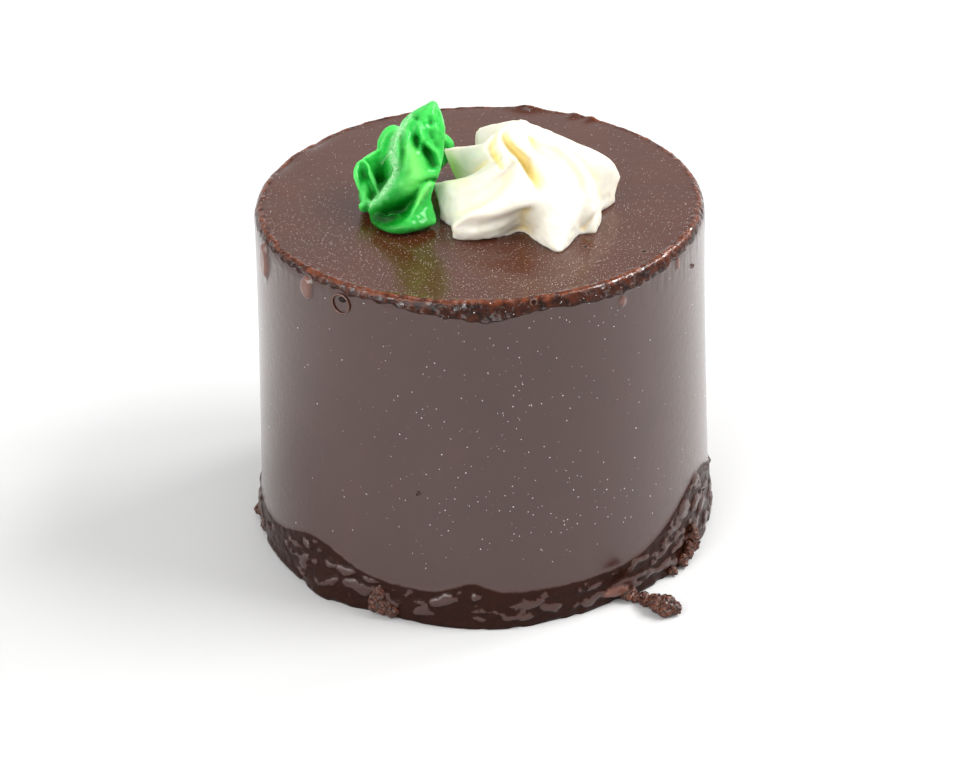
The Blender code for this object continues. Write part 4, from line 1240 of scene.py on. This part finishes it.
def strewFlakes(glaze, tree, material, kind, share):
    source = addObject(kind + "Flakes", glaze.data.copy())
    setAttribute(source.data, "sparkle", share)
    radius, density, seed = glitter[kind]
    return runTree(source, tree, Density=density * 1e4, Radius=radius * mm,
                   Thickness=glitter["thickness"] * mm, Seed=seed, Material=material)


def makeGlitter(glaze):
    # fine flakes lie thick on the top, most at its front, and a few larger ones on the front of the wall
    points = meshPoints(glaze.data) / mm
    azimuth = np.degrees(np.arctan2(points[:, 0], -points[:, 1]))
    onTop = smoothStep(points[:, 2], cake["height"] - glitter["edge"], cake["height"])
    onWall = (1.0 - onTop) * smoothStep(points[:, 2], *glitter["wallFrom"])
    topShare = onTop * (glitter["topLeast"] + smoothStep(-points[:, 1], *glitter["topFront"]))
    middle, spread = glitter["wallSide"]
    wallShare = onWall * (glitter["wallLeast"] + np.exp(-(angleBetween(azimuth, middle) / spread) ** 2))
    tree, material = makeFlakeTree(), makeGlitterFinish()
    flakes = joinPieces("glitterFlakes", [strewFlakes(glaze, tree, material, "top", topShare),
                                          strewFlakes(glaze, tree, material, "wall", wallShare)])
    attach(flakes, "root")


blisters = {
    # azimuth, level, ring radius, ring thickness
    "craters": ((-36.5, 43.6, 1.3, 0.12), (12.8, 45.75, 0.42, 0.11), (67.0, 41.6, 0.28, 0.06),
                (-16.6, 18.9, 0.3, 0.05)),
    # x and y on the top, ring radius, ring thickness
    "pits": ((-2.0, -14.5, 0.3, 0.06), (13.2, -14.4, 0.38, 0.08), (20.5, -16.0, 0.42, 0.08)),
    "ringLift": 0.12, "holeLift": 0.1, "holeDepth": 0.2,
    # the hole's place and half lengths in a crater, sideways and upwards, as shares of the ring's radius
    "holePlace": (0.2, 0.5), "holeReach": (0.42, 0.26),
    "pitReach": 0.85, "pitDepth": 0.04,
    "ringColumns": 36, "ringAround": 10, "holeRings": 14, "holeColumns": 24,
    "thinTones": ((0.055, 0.017, 0.010, 1), (0.12, 0.045, 0.028, 1)),
    # tones of the painted shade in the holes and pits
    "pitTones": ((0.004, 0.0015, 0.001, 1), (0.012, 0.004, 0.003, 1)),
}


def ellipsoid(name, centre, axes):
    # closed ellipsoid; axes are its three half axes as vectors
    rings, columns = blisters["holeRings"], blisters["holeColumns"]
    points = []
    for row in range(1, rings):
        turn = math.pi * row / rings
        for column in range(columns):
            spin = 2.0 * math.pi * column / columns
            local = (math.sin(turn) * math.cos(spin), math.sin(turn) * math.sin(spin), -math.cos(turn))
            points.append(centre + sum(local[i] * axes[i] for i in range(3)))
    faces = gridFaces(rings - 1, columns)
    points += [centre - axes[2], centre + axes[2]]
    bottom, top, lastRow = len(points) - 2, len(points) - 1, (rings - 2) * columns
    for i in range(columns):
        faces.append([(i + 1) % columns, i, bottom])
        faces.append([lastRow + i, lastRow + (i + 1) % columns, top])
    piece = objectFromMesh(name, points, faces)
    facesOutwards(piece.data)
    return piece


def ringShape(name, centre, outward, sideways, radius, thickness):
    # raised ring of glaze lying on the surface
    columns, around = blisters["ringColumns"], blisters["ringAround"]
    upward = np.cross(outward, sideways)
    points = []
    for row in range(columns):
        turn = 2.0 * math.pi * row / columns
        spoke = math.cos(turn) * sideways + math.sin(turn) * upward
        for column in range(around):
            spin = 2.0 * math.pi * column / around
            place = centre + spoke * (radius + thickness * math.cos(spin))
            points.append(place + outward * thickness * math.sin(spin))
    faces = []
    for row in range(columns):
        here, there = row * around, (row + 1) % columns * around
        for column in range(around):
            beside = (column + 1) % around
            faces.append([here + column, there + column, there + beside, here + beside])
    piece = objectFromMesh(name, points, faces)
    facesOutwards(piece.data)
    return piece


def wallFrame(azimuth, level):
    # place on the wall or the rim, with the directions out of the wall and along it
    turn = math.radians(azimuth)
    outward = np.array([math.sin(turn), -math.cos(turn), 0.0])
    sideways = np.array([math.cos(turn), math.sin(turn), 0.0])
    overCrest = min(max((level - cake["height"] + cake["rimDrop"]) / cake["rimDrop"], 0.0), 1.0)
    rounding = (cake["wallRadius"] - cake["topRadius"]) * (1.0 - math.sqrt(1.0 - overCrest ** 2))
    radius = float(smoothWall(np.array([azimuth]), np.array([level]))[0]) - rounding
    return outward * radius + np.array([0.0, 0.0, level]), outward, sideways


def makeThinGlaze():
    # thin translucent glaze of the bubble rings
    material, tree, shader = newMaterial(
        "thinGlaze", IOR=1.6, Subsurface_Weight=0.2, Subsurface_Radius=(1.0, 0.4, 0.25),
        Subsurface_Scale=0.6 * mm)
    fine = useGroup(tree, unevenness, Broad=1.4, Fine=0.4, Grain=0.4)
    feed(shader, Base_Color=blended(tree, fine["Cloud"], *blisters["thinTones"]),
         Roughness=ramped(tree, fine["Speck"], 0.3, 0.7, 0.1, 0.2))
    return material


def makePitShade():
    material, tree, shader = newMaterial("pitShade", Roughness=0.6, Specular_IOR_Level=0.2)
    fine = useGroup(tree, unevenness, Broad=0.6, Fine=0.2, Grain=0.4)
    feed(shader, Base_Color=blended(tree, fine["Cloud"], *blisters["pitTones"]))
    return material


def makeBlisters():
    # bubble rings on the wall and the rim, and open pits in the top; the hole in each ring and each pit is a
    # dark flattened blob of painted shade
    up = np.array([0.0, 0.0, 1.0])
    shapes, holes = [], []
    for azimuth, level, radius, thickness in blisters["craters"]:
        centre, outward, side = wallFrame(azimuth, level)
        middle = centre + outward * blisters["ringLift"]
        shapes.append(ringShape("ring", middle, outward, side, radius, thickness))
        (placeSide, placeUp), (reachSide, reachUp) = blisters["holePlace"], blisters["holeReach"]
        hole = centre + outward * blisters["holeLift"] + side * placeSide * radius + up * placeUp * radius
        axes = (side * radius * reachSide, outward * blisters["holeDepth"], up * radius * reachUp)
        holes.append(ellipsoid("pit", hole, axes))
    side, behind = np.array([1.0, 0.0, 0.0]), np.array([0.0, 1.0, 0.0])
    for x, y, radius, thickness in blisters["pits"]:
        centre = np.array([x, y, cake["height"]])
        shapes.append(ringShape("ring", centre, up, side, radius, thickness))
        reach = radius * blisters["pitReach"]
        holes.append(ellipsoid("pit", centre, (side * reach, behind * reach, up * blisters["pitDepth"])))
    rings = joinPieces("glazeBlisters", shapes)
    rings.data.materials.append(makeThinGlaze())
    # dark blobs of painted shade in the holes and pits
    pits = joinPieces("glazePits", holes)
    pits.data.materials.append(makePitShade())
    for piece in (rings, pits):
        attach(piece, "root")


print("cake glaze")
cakeGlaze = dressCake()
print("crumbs")
makeCrumbs()
print("cream rosette")
makeRosette()
print("leaf")
makeLeaf()
print("glitter")
makeGlitter(cakeGlaze)
print("blisters")
makeBlisters()


studio = {
    "floorColour": (0.53, 0.528, 0.526, 1), "floorHalf": 3000.0, "floorDrop": 0.02,
    # strength of the white world near the horizon and overhead, and the heights between which it changes
    "worldLow": 0.95, "worldHigh": 0.4, "worldHeights": (0.55, 0.85),
    # the lights shine at the aim; name, place, size and power, in metres and watts
    "aim": (0.0, 0.0, 0.03),
    "lights": (("keyLight", (0.42, 0.26, 0.40), 0.17, 2.15), ("rightLight", (0.58, -0.05, 0.64), 0.4, 7.4),
               ("topLight", (-0.05, 0.1, 0.9), 0.5, 1.9), ("fillLight", (-0.5, -0.75, 0.7), 0.7, 6.6),
               ("leftLight", (-0.8, -0.3, 0.45), 0.7, 3.4)),
}


def makeFloor():
    half, level = studio["floorHalf"], -studio["floorDrop"]
    corners = [[-half, -half, level], [half, -half, level], [half, half, level], [-half, half, level]]
    floor = objectFromMesh("floor", corners, [[0, 1, 2, 3]], smooth=False)
    floor.data.materials.append(newMaterial(
        "paleFloor", Base_Color=studio["floorColour"], Roughness=0.55, Specular_IOR_Level=0.3)[0])


def makeWorld():
    # bright round the horizon and dimmer overhead
    world = bpy.data.worlds.new("studioWorld")
    world.use_nodes = True
    direction = addNode(world.node_tree, "ShaderNodeTexCoord").outputs["Generated"]
    climb = addNode(world.node_tree, "ShaderNodeSeparateXYZ", {0: direction}).outputs["Z"]
    background = world.node_tree.nodes["Background"]
    background.inputs["Color"].default_value = (1.0, 1.0, 1.0, 1.0)
    feed(background, Strength=ramped(
        world.node_tree, climb, *studio["worldHeights"], studio["worldLow"], studio["worldHigh"]))
    bpy.context.scene.world = world


def makeLights():
    for name, place, size, power in studio["lights"]:
        lamp = bpy.data.lights.new(name, "AREA")
        lamp.shape, lamp.size, lamp.energy = "SQUARE", size, power
        light = addObject(name, lamp)
        light.location = place
        light.rotation_euler = (Vector(studio["aim"]) - Vector(place)).to_track_quat("-Z", "Y").to_euler()


def makeCamera():
    camera = addObject("photoCamera", bpy.data.cameras.new("photoCamera"))
    camera.data.sensor_width, camera.data.lens = view["sensor"], view["lens"]
    camera.data.clip_start, camera.data.clip_end = view["clip"]
    axes = [Vector(view["right"]), Vector(view["up"]), -Vector(view["forward"])]
    camera.matrix_world = Matrix.Translation(view["place"]) @ Matrix(axes).transposed().to_4x4()
    bpy.context.scene.camera = camera


print("studio and camera")
makeFloor()
makeWorld()
makeLights()
makeCamera()
bpy.context.scene.view_settings.view_transform = "Standard"
